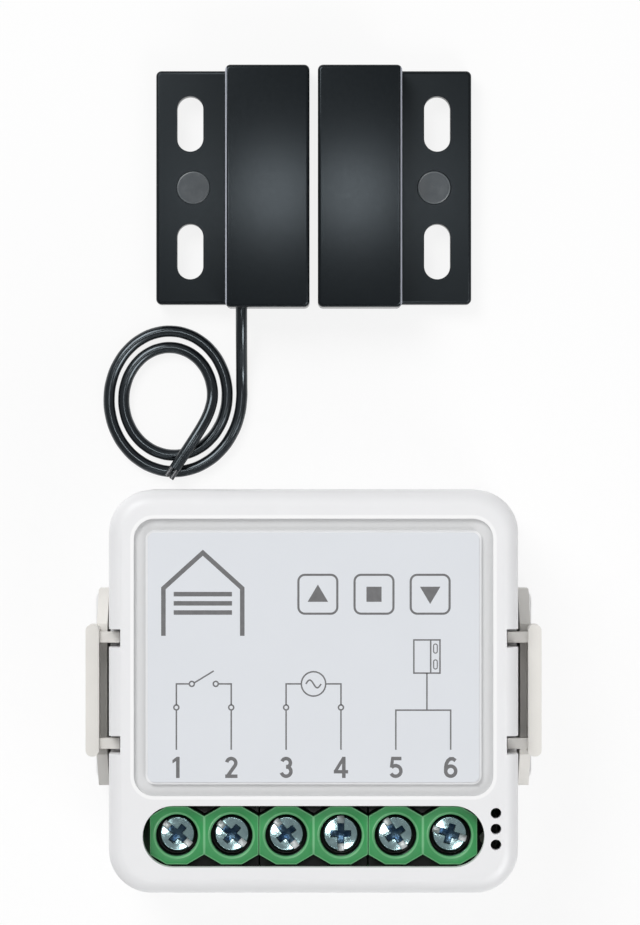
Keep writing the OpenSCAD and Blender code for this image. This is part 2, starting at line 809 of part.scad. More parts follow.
// Ribs that hold the board down and line up the front shell
module board_ribs() {
  rib_z = board_top + seat_gap;
  rib_h = parting_z + rib_reach - rib_z;
  for (turn = [0, 90, 180])
    rotate(turn) {
      reach = (turn == 90 ? inner_h : inner_w) / 2;
      translate([reach - slip_gap - rib_t / 2, 0, rib_z])
        plate([rib_t, rib_len, rib_h]);
      translate([reach, 0, rib_z])
        plate([2 * slip_gap + rib_t, rib_len, parting_z - rib_z - seat_gap]);
    }
}

// Ledge on the right wall with the cupped seat of the latch's root
module latch_ledge() {
  inside = half_w - ledge_r;
  difference() {
    translate([(inside + ledge_reach) / 2, 0, latch_axis_z - ledge_h])
      rounded_prism(ledge_reach - inside, latch_len, ledge_r, ledge_h);
    translate([latch_x, -latch_len, latch_axis_z])
      rotate([-90, 0, 0])
        cylinder(r = bead_r + run_gap, h = 2 * latch_len);
  }
}

// Right latch: a springy plate with a bar at its head and two hook arms
module side_latch() {
  root = latch_len / 2;
  head = latch_bar_len / 2;
  translate([latch_x - latch_t / 2, 0, 0])
    rotate([90, 0, 90])
      linear_extrude(latch_t)
        polygon([
          [-root, latch_axis_z], [root, latch_axis_z], [root, parting_z], [head, bar_z0],
          [head, latch_neck_z], [-head, latch_neck_z], [-head, bar_z0], [-root, parting_z]
        ]);
  translate([latch_x, -root, latch_axis_z])
    rotate([-90, 0, 0])
      cylinder(r = bead_r, h = latch_len);
  translate([bar_x, 0, bar_z0])
    rounded_prism(latch_bar_t, latch_bar_len, bar_r, latch_bar_h);
  for (s = [-1, 1])
    translate([(arm_tip_x + bar_x) / 2, s * latch_arm_gap / 2, arm_z0])
      plate([bar_x - arm_tip_x, latch_arm_w, latch_arm_h]);
}

module latch_right() {
  color("linen")
    side_latch();
}

module latch_left() {
  color("linen")
    mirror([1, 0, 0])
      side_latch();
}

// Printed sheet on the label panel
module front_label() {
  color("gainsboro")
    translate([0, panel_y, case_d - label_t])
      rounded_prism(
        panel_w - 2 * label_margin,
        panel_h - 2 * label_margin,
        panel_r - label_margin,
        label_t
      );
}

// Main board, with a hole for each solder leg
module main_board() {
  color("darkgreen")
    difference() {
      translate([0, 0, board_z])
        rounded_prism(board_w, board_h, inner_r - board_gap, board_t);
      for (i = pole_numbers)
        translate([pole_x(i), leg_y, board_z - cut])
          plate([leg_w + 2 * seat_gap, leg_t + 2 * seat_gap, board_t + 2 * cut]);
    }
}

// Outline of one octagonal tower
module tower_outline() {
  a = tower_flat / 2;
  b = tower_len / 2;
  c = pole_pitch / 2;
  d = tower_side / 2;
  polygon([[-a, b], [-c, d], [-c, -d], [-a, -b], [a, -b], [c, -d], [c, d], [a, b]]);
}

// Hollow of one pole: driver hole, screw hole, cage room, wire port and tongue channel
module pole_hollow() {
  translate([0, terminal_y, shoulder_z])
    cylinder(d = driver_hole_d, h = case_d);
  translate([0, terminal_y, tower_top - driver_chamfer])
    cylinder(d1 = driver_hole_d, d2 = driver_hole_d + 2 * (driver_chamfer + cut), h = driver_chamfer + cut);
  translate([0, terminal_y, cage_roof - cut])
    cylinder(d = screw_d + 4 * run_gap, h = shoulder_t + 2 * cut);
  translate([0, terminal_y, board_top + block_floor])
    plate([cage_room_w, cage_room_len, cage_roof - board_top - block_floor]);
  translate([0, (block_y0 + terminal_y) / 2 - cut / 2, port_z])
    plate([port_w, terminal_y - block_y0 + cut, port_h]);
  translate([0, block_y0, port_z - port_flare])
    plate([port_w + 2 * port_flare, 2 * port_flare_depth, port_h + 2 * port_flare]);
  translate([0, (terminal_y + leg_y + leg_t / 2 + seat_gap) / 2, board_top - cut])
    plate([
      tongue_w + 2 * seat_gap,
      leg_y + leg_t / 2 + seat_gap - terminal_y,
      tongue_top + seat_gap - board_top + cut
    ]);
}

// Two-pole terminal block k
module terminal_block(k) {
  color("mediumseagreen")
    translate([block_x(k), 0, 0])
      difference() {
        union() {
          translate([0, (block_y0 + block_y1) / 2, board_top])
            plate([block_w, block_depth, block_body_h]);
          intersection() {
            for (s = [-1, 1])
              translate([s * pole_pitch / 2, terminal_y, body_top - seat_gap])
                linear_extrude(tower_top - body_top + seat_gap)
                  tower_outline();
            translate([0, terminal_y, board_top])
              plate([block_w, case_h, case_d]);
          }
        }
        for (s = [-1, 1])
          translate([s * pole_pitch / 2, 0, 0])
            pole_hollow();
      }
}

// Clamp screw i: slotted head with a cross recess, turned to its rest angle
module terminal_screw(i) {
  color("lightsteelblue")
    translate([pole_x(i), terminal_y, 0])
      rotate(screw_angles[i - 1])
        difference() {
          union() {
            translate([0, 0, tongue_top + seat_gap])
              cylinder(d = screw_d, h = shoulder_z + 2 * seat_gap - tongue_top);
            translate([0, 0, shoulder_z + seat_gap])
              cylinder(d = screw_head_d, h = screw_head_h - screw_chamfer);
            translate([0, 0, shoulder_z + seat_gap + screw_head_h - screw_chamfer])
              cylinder(d1 = screw_head_d, d2 = screw_head_d - 2 * screw_chamfer, h = screw_chamfer);
          }
          translate([0, 0, shoulder_z + seat_gap + screw_head_h - screw_slot_depth])
            plate([screw_head_d + cut, screw_slot_w, cut]);
          translate([0, 0, shoulder_z + seat_gap + screw_head_h - screw_cross_depth])
            for (turn = [0, 90])
              rotate(turn)
                plate([screw_cross_len, screw_slot_w, cut]);
        }
}

// Clamp cage i: a metal frame that rises on its screw
module clamp_cage(i) {
  color("goldenrod")
    translate([pole_x(i), terminal_y, cage_z])
      difference() {
        plate([cage_w, cage_len, cage_h]);
        translate([0, 0, cage_t])
          plate([cage_open_w, cage_len + cut, cage_h - 2 * cage_t]);
        translate([0, 0, cage_h - cage_t - cut / 2])
          cylinder(d = screw_d + 2 * run_gap, h = cage_t + cut);
      }
}

// Solder tongues: one flat bar and leg for each pole
module terminal_tongues() {
  tip_y = terminal_y - cage_len / 2;
  color("silver")
    for (i = pole_numbers)
      translate([pole_x(i), 0, 0]) {
        translate([0, (tip_y + leg_y + leg_t / 2) / 2, tongue_top - tongue_t])
          plate([tongue_w, leg_y + leg_t / 2 - tip_y, tongue_t]);
        translate([0, leg_y, board_z - leg_out])
          plate([leg_w, leg_t, tongue_top - board_z + leg_out]);
      }
}

// Places its children in the relay's own frame, on the main board
module at_relay() {
  translate([relay_x, relay_y, board_top])
    children();
}

module relay_base() {
  color("dimgray")
    at_relay()
      plate([
        relay_l - 2 * relay_wall - 2 * seat_gap,
        relay_w - 2 * relay_wall - 2 * seat_gap,
        relay_base_t
      ]);
}

// Winding round the core, between two flanges
module relay_coil() {
  color("peru")
    at_relay()
      translate([coil_x, 0, coil_z])
        difference() {
          union() {
            cylinder(d = coil_d - 2 * coil_lip, h = coil_h);
            for (z = [0, coil_h - coil_flange_t])
              translate([0, 0, z])
                cylinder(d = coil_d, h = coil_flange_t);
          }
          translate([0, 0, -cut])
            cylinder(d = core_d + 2 * run_gap, h = coil_h + 2 * cut);
        }
}

// Iron frame: foot, core and the upright that the armature rocks on
module relay_frame() {
  foot = coil_x + core_d / 2 - frame_x + iron_t / 2;
  color("slategray")
    at_relay() {
      translate([frame_x - iron_t / 2 + foot / 2, 0, relay_base_t])
        plate([foot, armature_w, coil_z - relay_base_t]);
      translate([coil_x, 0, relay_base_t])
        cylinder(d = core_d, h = core_top - relay_base_t);
      translate([frame_x, 0, relay_base_t])
        plate([iron_t, armature_w, armature_z - seat_gap - relay_base_t]);
    }
}

// Armature with its rounded heel and contact leaf, open above the core
module relay_armature() {
  color("silver")
    at_relay()
      translate([frame_x - iron_t / 2, 0, armature_z]) {
        translate([(armature_l + iron_t) / 2, 0, 0])
          plate([armature_l + iron_t, armature_w, iron_t]);
        translate([iron_t / 2, -armature_w / 2, iron_t / 2])
          rotate([-90, 0, 0])
            cylinder(d = iron_t + 2 * heel_out, h = armature_w);
        translate([iron_t + armature_l + (leaf_l - leaf_lap) / 2, 0, 0])
          plate([leaf_l + leaf_lap, leaf_w, leaf_t]);
        translate([contact_x - frame_x + iron_t / 2, 0, -contact_t])
          cylinder(d = contact_d, h = contact_t + leaf_t / 2);
      }
}

// Fixed contact on its post
module relay_contact() {
  top = armature_z - contact_t - contact_gap;
  color("darkgoldenrod")
    at_relay()
      translate([contact_x, 0, 0]) {
        translate([0, 0, relay_base_t])
          plate([contact_post_w, leaf_w, top - contact_t - relay_base_t]);
        translate([0, 0, top - contact_t - seat_gap])
          cylinder(d = contact_d, h = contact_t + seat_gap);
      }
}

// Cover over the relay, open below
module relay_cover() {
  color("royalblue")
    at_relay()
      difference() {
        plate([relay_l, relay_w, relay_h]);
        translate([0, 0, -cut])
          plate([relay_l - 2 * relay_wall, relay_w - 2 * relay_wall, relay_h - relay_wall + cut]);
      }
}

// Ferrite frame of the transformer, two outer legs and two yokes
module transformer_core() {
  color("darkslategray")
    translate([transformer_x, transformer_y, board_top])
      difference() {
        plate([transformer_l, transformer_w, transformer_h]);
        translate([0, 0, -cut])
          plate([
            transformer_l - 2 * transformer_leg,
            transformer_w - 2 * transformer_leg,
            transformer_h + 2 * cut
          ]);
      }
}

// Taped winding inside the ferrite frame
module transformer_winding() {
  color("khaki")
    translate([transformer_x, transformer_y, board_top])
      plate([
        transformer_l - 2 * transformer_leg - 2 * seat_gap,
        transformer_w - 2 * transformer_leg - 2 * seat_gap,
        transformer_h + winding_over
      ]);
}

// Upright can capacitor
module can_capacitor(d, h) {
  rim = 0.3;
  cylinder(d = d, h = h - rim);
  translate([0, 0, h - rim])
    cylinder(d1 = d, d2 = d - 2 * rim, h = rim);
}

module input_capacitor() {
  color("darkslateblue")
    translate([input_cap_x, input_cap_y, board_top])
      can_capacitor(input_cap_d, input_cap_h);
}

module output_capacitor() {
  color("darkslateblue")
    translate([output_cap_x, output_cap_y, board_top])
      can_capacitor(output_cap_d, output_cap_h);
}

// Disc varistor on edge, cut flat where it stands
module varistor() {
  color("royalblue")
    intersection() {
      translate([varistor_x, varistor_y + varistor_t / 2, board_top + varistor_d / 2 - varistor_flat])
        rotate([90, 0, 0])
          cylinder(d = varistor_d, h = varistor_t);
      translate([varistor_x, varistor_y, board_top])
        plate([varistor_d, varistor_t, varistor_d]);
    }
}

// Fuse resistor lying on the board
module fuse_resistor() {
  color("olivedrab")
    translate([fuse_x - fuse_l / 2, fuse_y, board_top + fuse_d / 2 + seat_gap])
      rotate([0, 90, 0])
        cylinder(d = fuse_d, h = fuse_l);
}

module bridge_rectifier() {
  color("dimgray")
    translate([bridge_x, bridge_y, board_top])
      plate([bridge_w, bridge_l, chip_h]);
}

// Converter chip on the back of the main board
module converter_chip() {
  color("dimgray")
    translate([transformer_x, transformer_y, chip_z])
      plate([chip_w, chip_w, chip_h]);
}

module radio_board() {
  color("darkblue")
    translate([radio_x, radio_y, board_top])
      plate([radio_w, radio_h, radio_t]);
}

module radio_shield() {
  color("silver")
    translate([radio_x, radio_y - (radio_h - shield_h) / 2 + part_margin, board_top + radio_t])
      plate([shield_w, shield_h, shield_t]);
}

module status_light() {
  color("ivory")
    translate([switch_x, light_y, board_top])
      plate([light_w, light_l, light_h]);
}

// Pairing switch, with the bore that guides its plunger
module switch_body() {
  color("dimgray")
    translate([switch_x, switch_y, board_top])
      difference() {
        plate([switch_w, switch_l, switch_h]);
        translate([0, 0, switch_h - plunger_bore])
          cylinder(d = plunger_d + 2 * run_gap, h = plunger_bore + cut);
      }
}

module switch_plunger() {
  color("white")
    translate([switch_x, switch_y, board_top + switch_h + plunger_out - plunger_len])
      cylinder(d = plunger_d, h = plunger_len);
}

// Housing of the right contact half: raised body and slotted flange, hollow from below
module contact_housing() {
  flange_in = body_outer_x - flange_root;
  difference() {
    union() {
      translate([body_x, contact_mid_y, 0])
        soft_slab(contact_w, contact_len, contact_h, contact_corner_r, contact_edge_r);
      translate([(flange_in + flange_outer_x) / 2, contact_mid_y, 0])
        soft_slab(flange_outer_x - flange_in, flange_len, flange_t, contact_corner_r, contact_edge_r);
    }
    translate([body_x, contact_mid_y, -cut])
      plate([room_w, room_len, room_top + cut]);
    for (s = [-1, 1])
      translate([slot_x, contact_mid_y + s * slot_pitch / 2, -cut])
        round_slot(slot_w, slot_len, flange_t + 2 * cut);
    translate([mark_x, contact_mid_y, flange_t - mark_depth])
      cylinder(d = mark_d, h = mark_depth + cut);
  }
}

// Plate that closes a contact half from below
module contact_base() {
  translate([body_x, contact_mid_y, 0])
    plate([room_w - 2 * seat_gap, room_len - 2 * seat_gap, base_t]);
}

module sensor_housing() {
  color([0.12, 0.12, 0.14])
    difference() {
      mirror([1, 0, 0])
        contact_housing();
      translate(cable_exit - [0, cut, 0])
        rotate([-90, 0, 0])
          cylinder(d = cable_d + 2 * cable_gap, h = contact_wall + 2 * cut);
    }
}

// Base plate of the wired half, with two saddles under the glass capsule
module sensor_base() {
  color("dimgray")
    difference() {
      union() {
        mirror([1, 0, 0])
          contact_base();
        for (s = [-1, 1])
          translate([-body_x, contact_mid_y + s * saddle_shift, 0])
            plate([saddle_w, saddle_t, capsule_z]);
      }
      translate([-body_x, contact_y0, capsule_z])
        rotate([-90, 0, 0])
          cylinder(d = capsule_d + 2 * run_gap, h = contact_len);
    }
}

// Places its children at the capsule's middle, with Z along the contact
module at_capsule() {
  translate([-body_x, contact_mid_y, capsule_z])
    rotate([-90, 0, 0])
      children();
}

// Glass capsule, sealed at both ends round the leads
module reed_capsule() {
  room_h = capsule_len - 2 * seal_len;
  color("lightcyan")
    at_capsule()
      difference() {
        translate([0, 0, -capsule_len / 2])
          cylinder(d = capsule_d, h = capsule_len);
        translate([0, 0, -room_h / 2])
          cylinder(d = capsule_d - 2 * glass_t, h = room_h);
        translate([0, 0, -capsule_len])
          cylinder(d = lead_d, h = 2 * capsule_len);
      }
}

// Both leads, the near one with the fixed blade
module reed_leads() {
  lead_len = capsule_len / 2 + lead_out - blade_root;
  color("silver")
    at_capsule() {
      translate([0, 0, -blade_root - lead_len])
        cylinder(d = lead_d, h = lead_len + blade_w);
      translate([-blade_w / 2, blade_gap / 2, -blade_root])
        cube([blade_w, blade_t, blade_len]);
      translate([0, 0, blade_root])
        cylinder(d = lead_d, h = lead_len);
    }
}

// Moving blade, rooted at the far lead
module reed_blade() {
  color("lightgray")
    at_capsule()
      translate([-blade_w / 2, -blade_gap / 2 - blade_t, blade_root - blade_len])
        cube([blade_w, blade_t, blade_len - blade_gap]);
}

// Two wires from the cable's inner end to the reed's leads
module sensor_wires() {
  start = lead_route[0] + [0, inner_wire_d / 2, 0];
  wire_side = inner_wire_d / 2 + seat_gap;
  wire_knot_d = inner_wire_d + 2 * seat_gap;
  knot_shift = capsule_len / 2 + lead_out + wire_knot_d / 2 + seat_gap;
  near = [-body_x, contact_mid_y - knot_shift, capsule_z];
  far = [-body_x, contact_mid_y + knot_shift, capsule_z];
  bend = [start.x - wire_side, far.y, start.z];
  color("firebrick") {
    rod(start + [wire_side, 0, 0], near, inner_wire_d);
    translate(near)
      sphere(d = wire_knot_d);
  }
  color("firebrick") {
    rod(start - [wire_side, 0, 0], bend, inner_wire_d);
    translate(bend)
      sphere(d = wire_knot_d);
    rod(bend, far, inner_wire_d);
    translate(far)
      sphere(d = wire_knot_d);
  }
}

// Cable: one tube along the lead, the two turns and the tail
module sensor_cable() {
  line = cable_line(turn_rings);
  sides = cable_sides;
  last = len(line) - 1;
  points = [for (i = [0 : last]) each ring(line, i, cable_r, sides)];
  walls = [
    for (i = [0 : last - 1], k = [0 : sides - 1])
      let (a = i * sides + k, b = i * sides + (k + 1) % sides)
        each [[a, b, a + sides], [b, b + sides, a + sides]]
  ];
  near_end = [for (k = [1 : sides - 2]) [0, k + 1, k]];
  far_end = [for (k = [1 : sides - 2]) [last * sides, last * sides + k, last * sides + k + 1]];
  color([0.08, 0.08, 0.09])
    polyhedron(points, concat(walls, near_end, far_end));
}

// Bare cores that stand out of the cable's cut end
module cable_cores() {
  line = cable_line(turn_rings);
  end = line[len(line) - 1];
  along = heading(line, len(line) - 1);
  side = unit(cross([0, 0, 1], along));
  color("darkorange")
    for (s = [-1, 1])
      let (root = end + s * cable_r / 2 * side)
        rod(root, root + core_wire_out * along, core_wire_d);
}

module magnet_housing() {
  color([0.12, 0.12, 0.14])
    contact_housing();
}

// Base plate of the magnet half, with ribs beside the magnet
module magnet_base() {
  color("dimgray") {
    contact_base();
    for (s = [-1, 1])
      let (shift = magnet_len / 2 + seat_gap + magnet_rib / 2)
        translate([body_x, contact_mid_y + s * shift, base_t - seat_gap])
          plate([magnet_w, magnet_rib, magnet_rib + seat_gap]);
  }
}

module bar_magnet() {
  color("silver")
    translate([body_x, contact_mid_y, base_t])
      plate([magnet_w, magnet_len, magnet_t]);
}

// Least gap of the cable to itself, measured on four times as many points as its rings
gap_rings = 4 * turn_rings;
echo(cable_gap_to_itself = line_gap(cable_line(gap_rings), gap_rings / 4) - cable_d);

front_shell();
rear_shell();
front_label();
latch_left();
latch_right();
main_board();
for (k = [1 : block_count])
  terminal_block(k);
terminal_tongues();
for (i = pole_numbers) {
  terminal_screw(i);
  clamp_cage(i);
}
relay_base();
relay_coil();
relay_frame();
relay_armature();
relay_contact();
relay_cover();
transformer_core();
transformer_winding();
input_capacitor();
output_capacitor();
varistor();
fuse_resistor();
bridge_rectifier();
converter_chip();
radio_board();
radio_shield();
status_light();
switch_body();
switch_plunger();
sensor_housing();
sensor_base();
reed_capsule();
reed_leads();
reed_blade();
sensor_wires();
sensor_cable();
cable_cores();
magnet_housing();
magnet_base();
bar_magnet();
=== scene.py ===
import math

import bmesh
import bpy
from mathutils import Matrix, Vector
from mathutils.geometry import delaunay_2d_cdt


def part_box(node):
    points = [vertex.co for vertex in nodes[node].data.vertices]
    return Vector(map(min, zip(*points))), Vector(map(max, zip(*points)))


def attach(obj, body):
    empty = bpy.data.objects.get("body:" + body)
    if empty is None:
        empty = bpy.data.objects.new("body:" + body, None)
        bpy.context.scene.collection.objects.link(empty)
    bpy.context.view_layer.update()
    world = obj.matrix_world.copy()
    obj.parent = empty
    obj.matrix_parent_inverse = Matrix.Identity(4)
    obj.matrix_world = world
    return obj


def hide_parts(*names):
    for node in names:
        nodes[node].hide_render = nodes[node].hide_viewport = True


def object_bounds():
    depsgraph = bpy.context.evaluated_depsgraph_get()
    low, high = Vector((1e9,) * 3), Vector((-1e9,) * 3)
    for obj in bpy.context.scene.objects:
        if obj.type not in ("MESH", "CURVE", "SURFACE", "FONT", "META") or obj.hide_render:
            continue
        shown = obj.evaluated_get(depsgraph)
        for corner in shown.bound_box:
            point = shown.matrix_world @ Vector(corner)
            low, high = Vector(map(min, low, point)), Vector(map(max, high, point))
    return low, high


# Looks of a garage door controller and its wired door contact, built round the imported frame
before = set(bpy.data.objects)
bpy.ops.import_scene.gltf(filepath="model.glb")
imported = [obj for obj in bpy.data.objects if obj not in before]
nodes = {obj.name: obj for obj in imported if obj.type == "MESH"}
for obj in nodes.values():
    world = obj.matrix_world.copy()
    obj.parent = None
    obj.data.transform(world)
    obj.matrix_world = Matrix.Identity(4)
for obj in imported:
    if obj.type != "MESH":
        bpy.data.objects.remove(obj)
cad_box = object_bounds()
scene = bpy.context.scene

# Sizes and places are in millimetres, and become metres through MM; only the lamps are written in metres
MM = 0.001
POLES = range(1, 7)
BLOCKS = range(1, 4)

IMAGE_H = 925
PX_PER_MM = 10.8
CAMERA_RISE = 500
CAMERA_SHIFT = (0.6, 1.1)
SENSOR = 36

# Cable: the same route as the solid's
CABLE_D = 1.1
CABLE_EXIT = (-6.9, 36, 2.4)
REST_Z = 0.6
LEAD_STEPS = [
    (-2, 0), (0, 0), (1.2, 0.02), (2.5, 0.14),
    (3.8, 0.39), (5, 0.67), (6.2, 0.89), (7.4, 0.99),
]
TAIL_STEPS = [
    (3.74, -0.9, 0.55), (3.4, -1.85, 0.78), (2.88, -2.85, 1), (2.27, -3.85, 1.15),
    (1.62, -4.85, 1.2), (0.96, -5.85, 1.2), (0.3, -6.85, 1.2),
]
TURN_CENTRE = (-13.6, 27.5)
TURN_R = 6.7
TURN_STEP = 1.4
TURN_STRETCH = 1.12
TURN_COUNT = 2
TURN_POINTS = 24
CLIMB_FROM = 1.8
CLIMB_H = 0.396
CABLE_STEPS_ROUND = 6
CABLE_STEPS_ALONG = 4


def make_camera():
    low, high = cad_box
    middle = (low + high) / 2
    data = bpy.data.cameras.new("camera")
    data.sensor_width = SENSOR
    data.lens = SENSOR * CAMERA_RISE * PX_PER_MM / IMAGE_H
    camera = bpy.data.objects.new("camera", data)
    camera.location = (
        middle.x + CAMERA_SHIFT[0] * MM,
        middle.y + CAMERA_SHIFT[1] * MM,
        high.z + CAMERA_RISE * MM,
    )
    scene.collection.objects.link(camera)
    scene.camera = camera


def turn_point(t):
    """Point of the coil at t turns from its start."""
    r = TURN_R - TURN_STEP * t
    angle = 2 * math.pi * t
    climb = max(0, (t - CLIMB_FROM) / (TURN_COUNT - CLIMB_FROM))
    return (
        TURN_CENTRE[0] + r * math.cos(angle),
        TURN_CENTRE[1] - r * TURN_STRETCH * math.sin(angle),
        REST_Z + CLIMB_H * climb * climb,
    )


def cable_route():
    """Middle line of the cable in metres: lead, coil and tail."""
    x, y, z = CABLE_EXIT
    mid_x, mid_y = TURN_CENTRE
    lead = [(x, y - past, z - share * (z - REST_Z)) for past, share in LEAD_STEPS]
    turns = [turn_point(i / TURN_POINTS) for i in range(TURN_COUNT * TURN_POINTS + 1)]
    tail = [(mid_x + dx, mid_y + dy, REST_Z + up * CABLE_D) for dx, dy, up in TAIL_STEPS]
    return [Vector(p) * MM for p in lead + turns + tail]


def make_cable():
    """Round cable on a smooth curve, in place of its plain solid; the points carry its radius."""
    route = cable_route()
    curve = bpy.data.curves.new("cable", "CURVE")
    curve.dimensions = "3D"
    curve.bevel_depth = 1
    curve.bevel_resolution = CABLE_STEPS_ROUND
    curve.resolution_u = CABLE_STEPS_ALONG
    curve.use_fill_caps = True
    spline = curve.splines.new("BEZIER")
    spline.bezier_points.add(len(route) - 1)
    for point, place in zip(spline.bezier_points, route):
        point.co = place
        point.radius = CABLE_D / 2 * MM
        point.handle_left = place
        point.handle_right = place
        point.handle_left_type = "AUTO"
        point.handle_right_type = "AUTO"
    piece = bpy.data.objects.new("sensor_lead", curve)
    scene.collection.objects.link(piece)
    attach(piece, "module")
    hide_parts("sensor_cable")
    return piece


make_camera()
cable = make_cable()

# Colours, linear
CASE_WHITE = (0.872, 0.874, 0.886)
# Painted highlight round the outer edge of the label's channel, then painted shade on its floor
CASE_RIM_HIGHLIGHT = (0.97, 0.97, 0.975)
GROOVE_SHADE_GREY = (0.7, 0.705, 0.71)
LATCH_CREAM = (0.81, 0.79, 0.75)
LABEL_GREY = (0.755, 0.78, 0.82)
INK_GREY = (0.15, 0.15, 0.155)
TERMINAL_GREEN = (0.025, 0.3, 0.079)
# Painted highlight on the terminal towers' top edges, then painted shade in their notches and holes
GREEN_EDGE_HIGHLIGHT = (0.17, 0.5, 0.23)
GREEN_SHADE = (0.003, 0.014, 0.006)
CONTACT_BLACK = (0.004, 0.0054, 0.0067)
# Painted highlight along the top of the contact's step
CONTACT_STEP_HIGHLIGHT = (0.42, 0.44, 0.5)
MARK_GREY = (0.031, 0.042, 0.051)
# Painted highlight at the outer edge of the round marks
MARK_RIM_HIGHLIGHT = (0.13, 0.145, 0.155)
CABLE_BLACK = (0.004, 0.005, 0.0065)
BLUE_GLOSS = (0.8, 0.92, 1, 1)
ZINC_TOP = (0.42, 0.6, 0.62)
# Painted highlight on the screw slot floor, then painted shade in the cross recess
ZINC_SLOT_HIGHLIGHT = (0.97, 0.98, 1)
ZINC_RECESS_SHADE = (0.02, 0.045, 0.085)
ZINC_STAIN = (0.2, 0.32, 0.38)
BRASS = (0.74, 0.53, 0.24)
COPPER = (0.78, 0.4, 0.22)
TINNED = (0.13, 0.132, 0.138)
STEEL = (0.6, 0.6, 0.61)
IRON = (0.16, 0.165, 0.17)
BOARD_GREEN = (0.012, 0.09, 0.03)
BOARD_TRACK = (0.022, 0.16, 0.05)
BOARD_TIN = (0.7, 0.7, 0.7)
CAN_SLEEVE = (0.01, 0.012, 0.03)
CAN_STRIPE = (0.5, 0.52, 0.55)
CAN_TOP = (0.75, 0.75, 0.76)
RESISTOR_BODY = (0.1, 0.17, 0.08)
RESISTOR_RED = (0.3, 0.03, 0.02)
RESISTOR_BROWN = (0.02, 0.015, 0.01)
RESISTOR_GOLD = (0.45, 0.2, 0.02)
GLASS_GREEN = (0.82, 0.95, 0.9)
RESIN_CREAM = (0.85, 0.82, 0.74)
EPOXY_BLACK = (0.012, 0.012, 0.013)
RELAY_BLUE = (0.01, 0.045, 0.24)
VARISTOR_BLUE = (0.015, 0.09, 0.33)
TAPE_YELLOW = (0.62, 0.42, 0.04)
WIRE_RED = (0.33, 0.012, 0.01)
FLOOR_WHITE = (0.95, 0.95, 0.95)
WHITE = (1, 1, 1)
BLACK = (0, 0, 0)

# Places that the materials follow
GROOVE_CENTRE = (0, 3.2)
GROOVE_REACH = (16.65, 12.85)
GROOVE_R = 1.9
GROOVE_FLOOR_Z = 17.5
CASE_TOP_Z = 18
TERMINAL_Y = -13.4
PORT_FACE_Y = -17
PITCH = 5.08
BLOCK_TOP_Z = 12.6
TOWER_TOP_Z = 16.2
TOWER_REACH = (2.54, 2.71, 2.818)
SLANT = (0.505, 0.863)
HOLE_R = 2.06
SCREW_TOP_Z = 14
SCREW_STEPS = (0.3, 0.4, 0.5, 0.6)
SCREW_DISH_R = 4
PADS_FROM_Y = -10
CONTACT_MID_Y = 47.5
CONTACT_TOP_Z = 6
BODY_X = 4.4
BODY_EDGE_X = 8.4
FLANGE_X = 11.7
FLANGE_DULL = 0.1
CROWN_R = 105
CROWN_Y = 46.9
MARK_X = 11.5
MARK_RIM_R = 1.5

# Range of a noise value that carries most of its change
NOISE_LOW = 0.3
NOISE_HIGH = 0.7


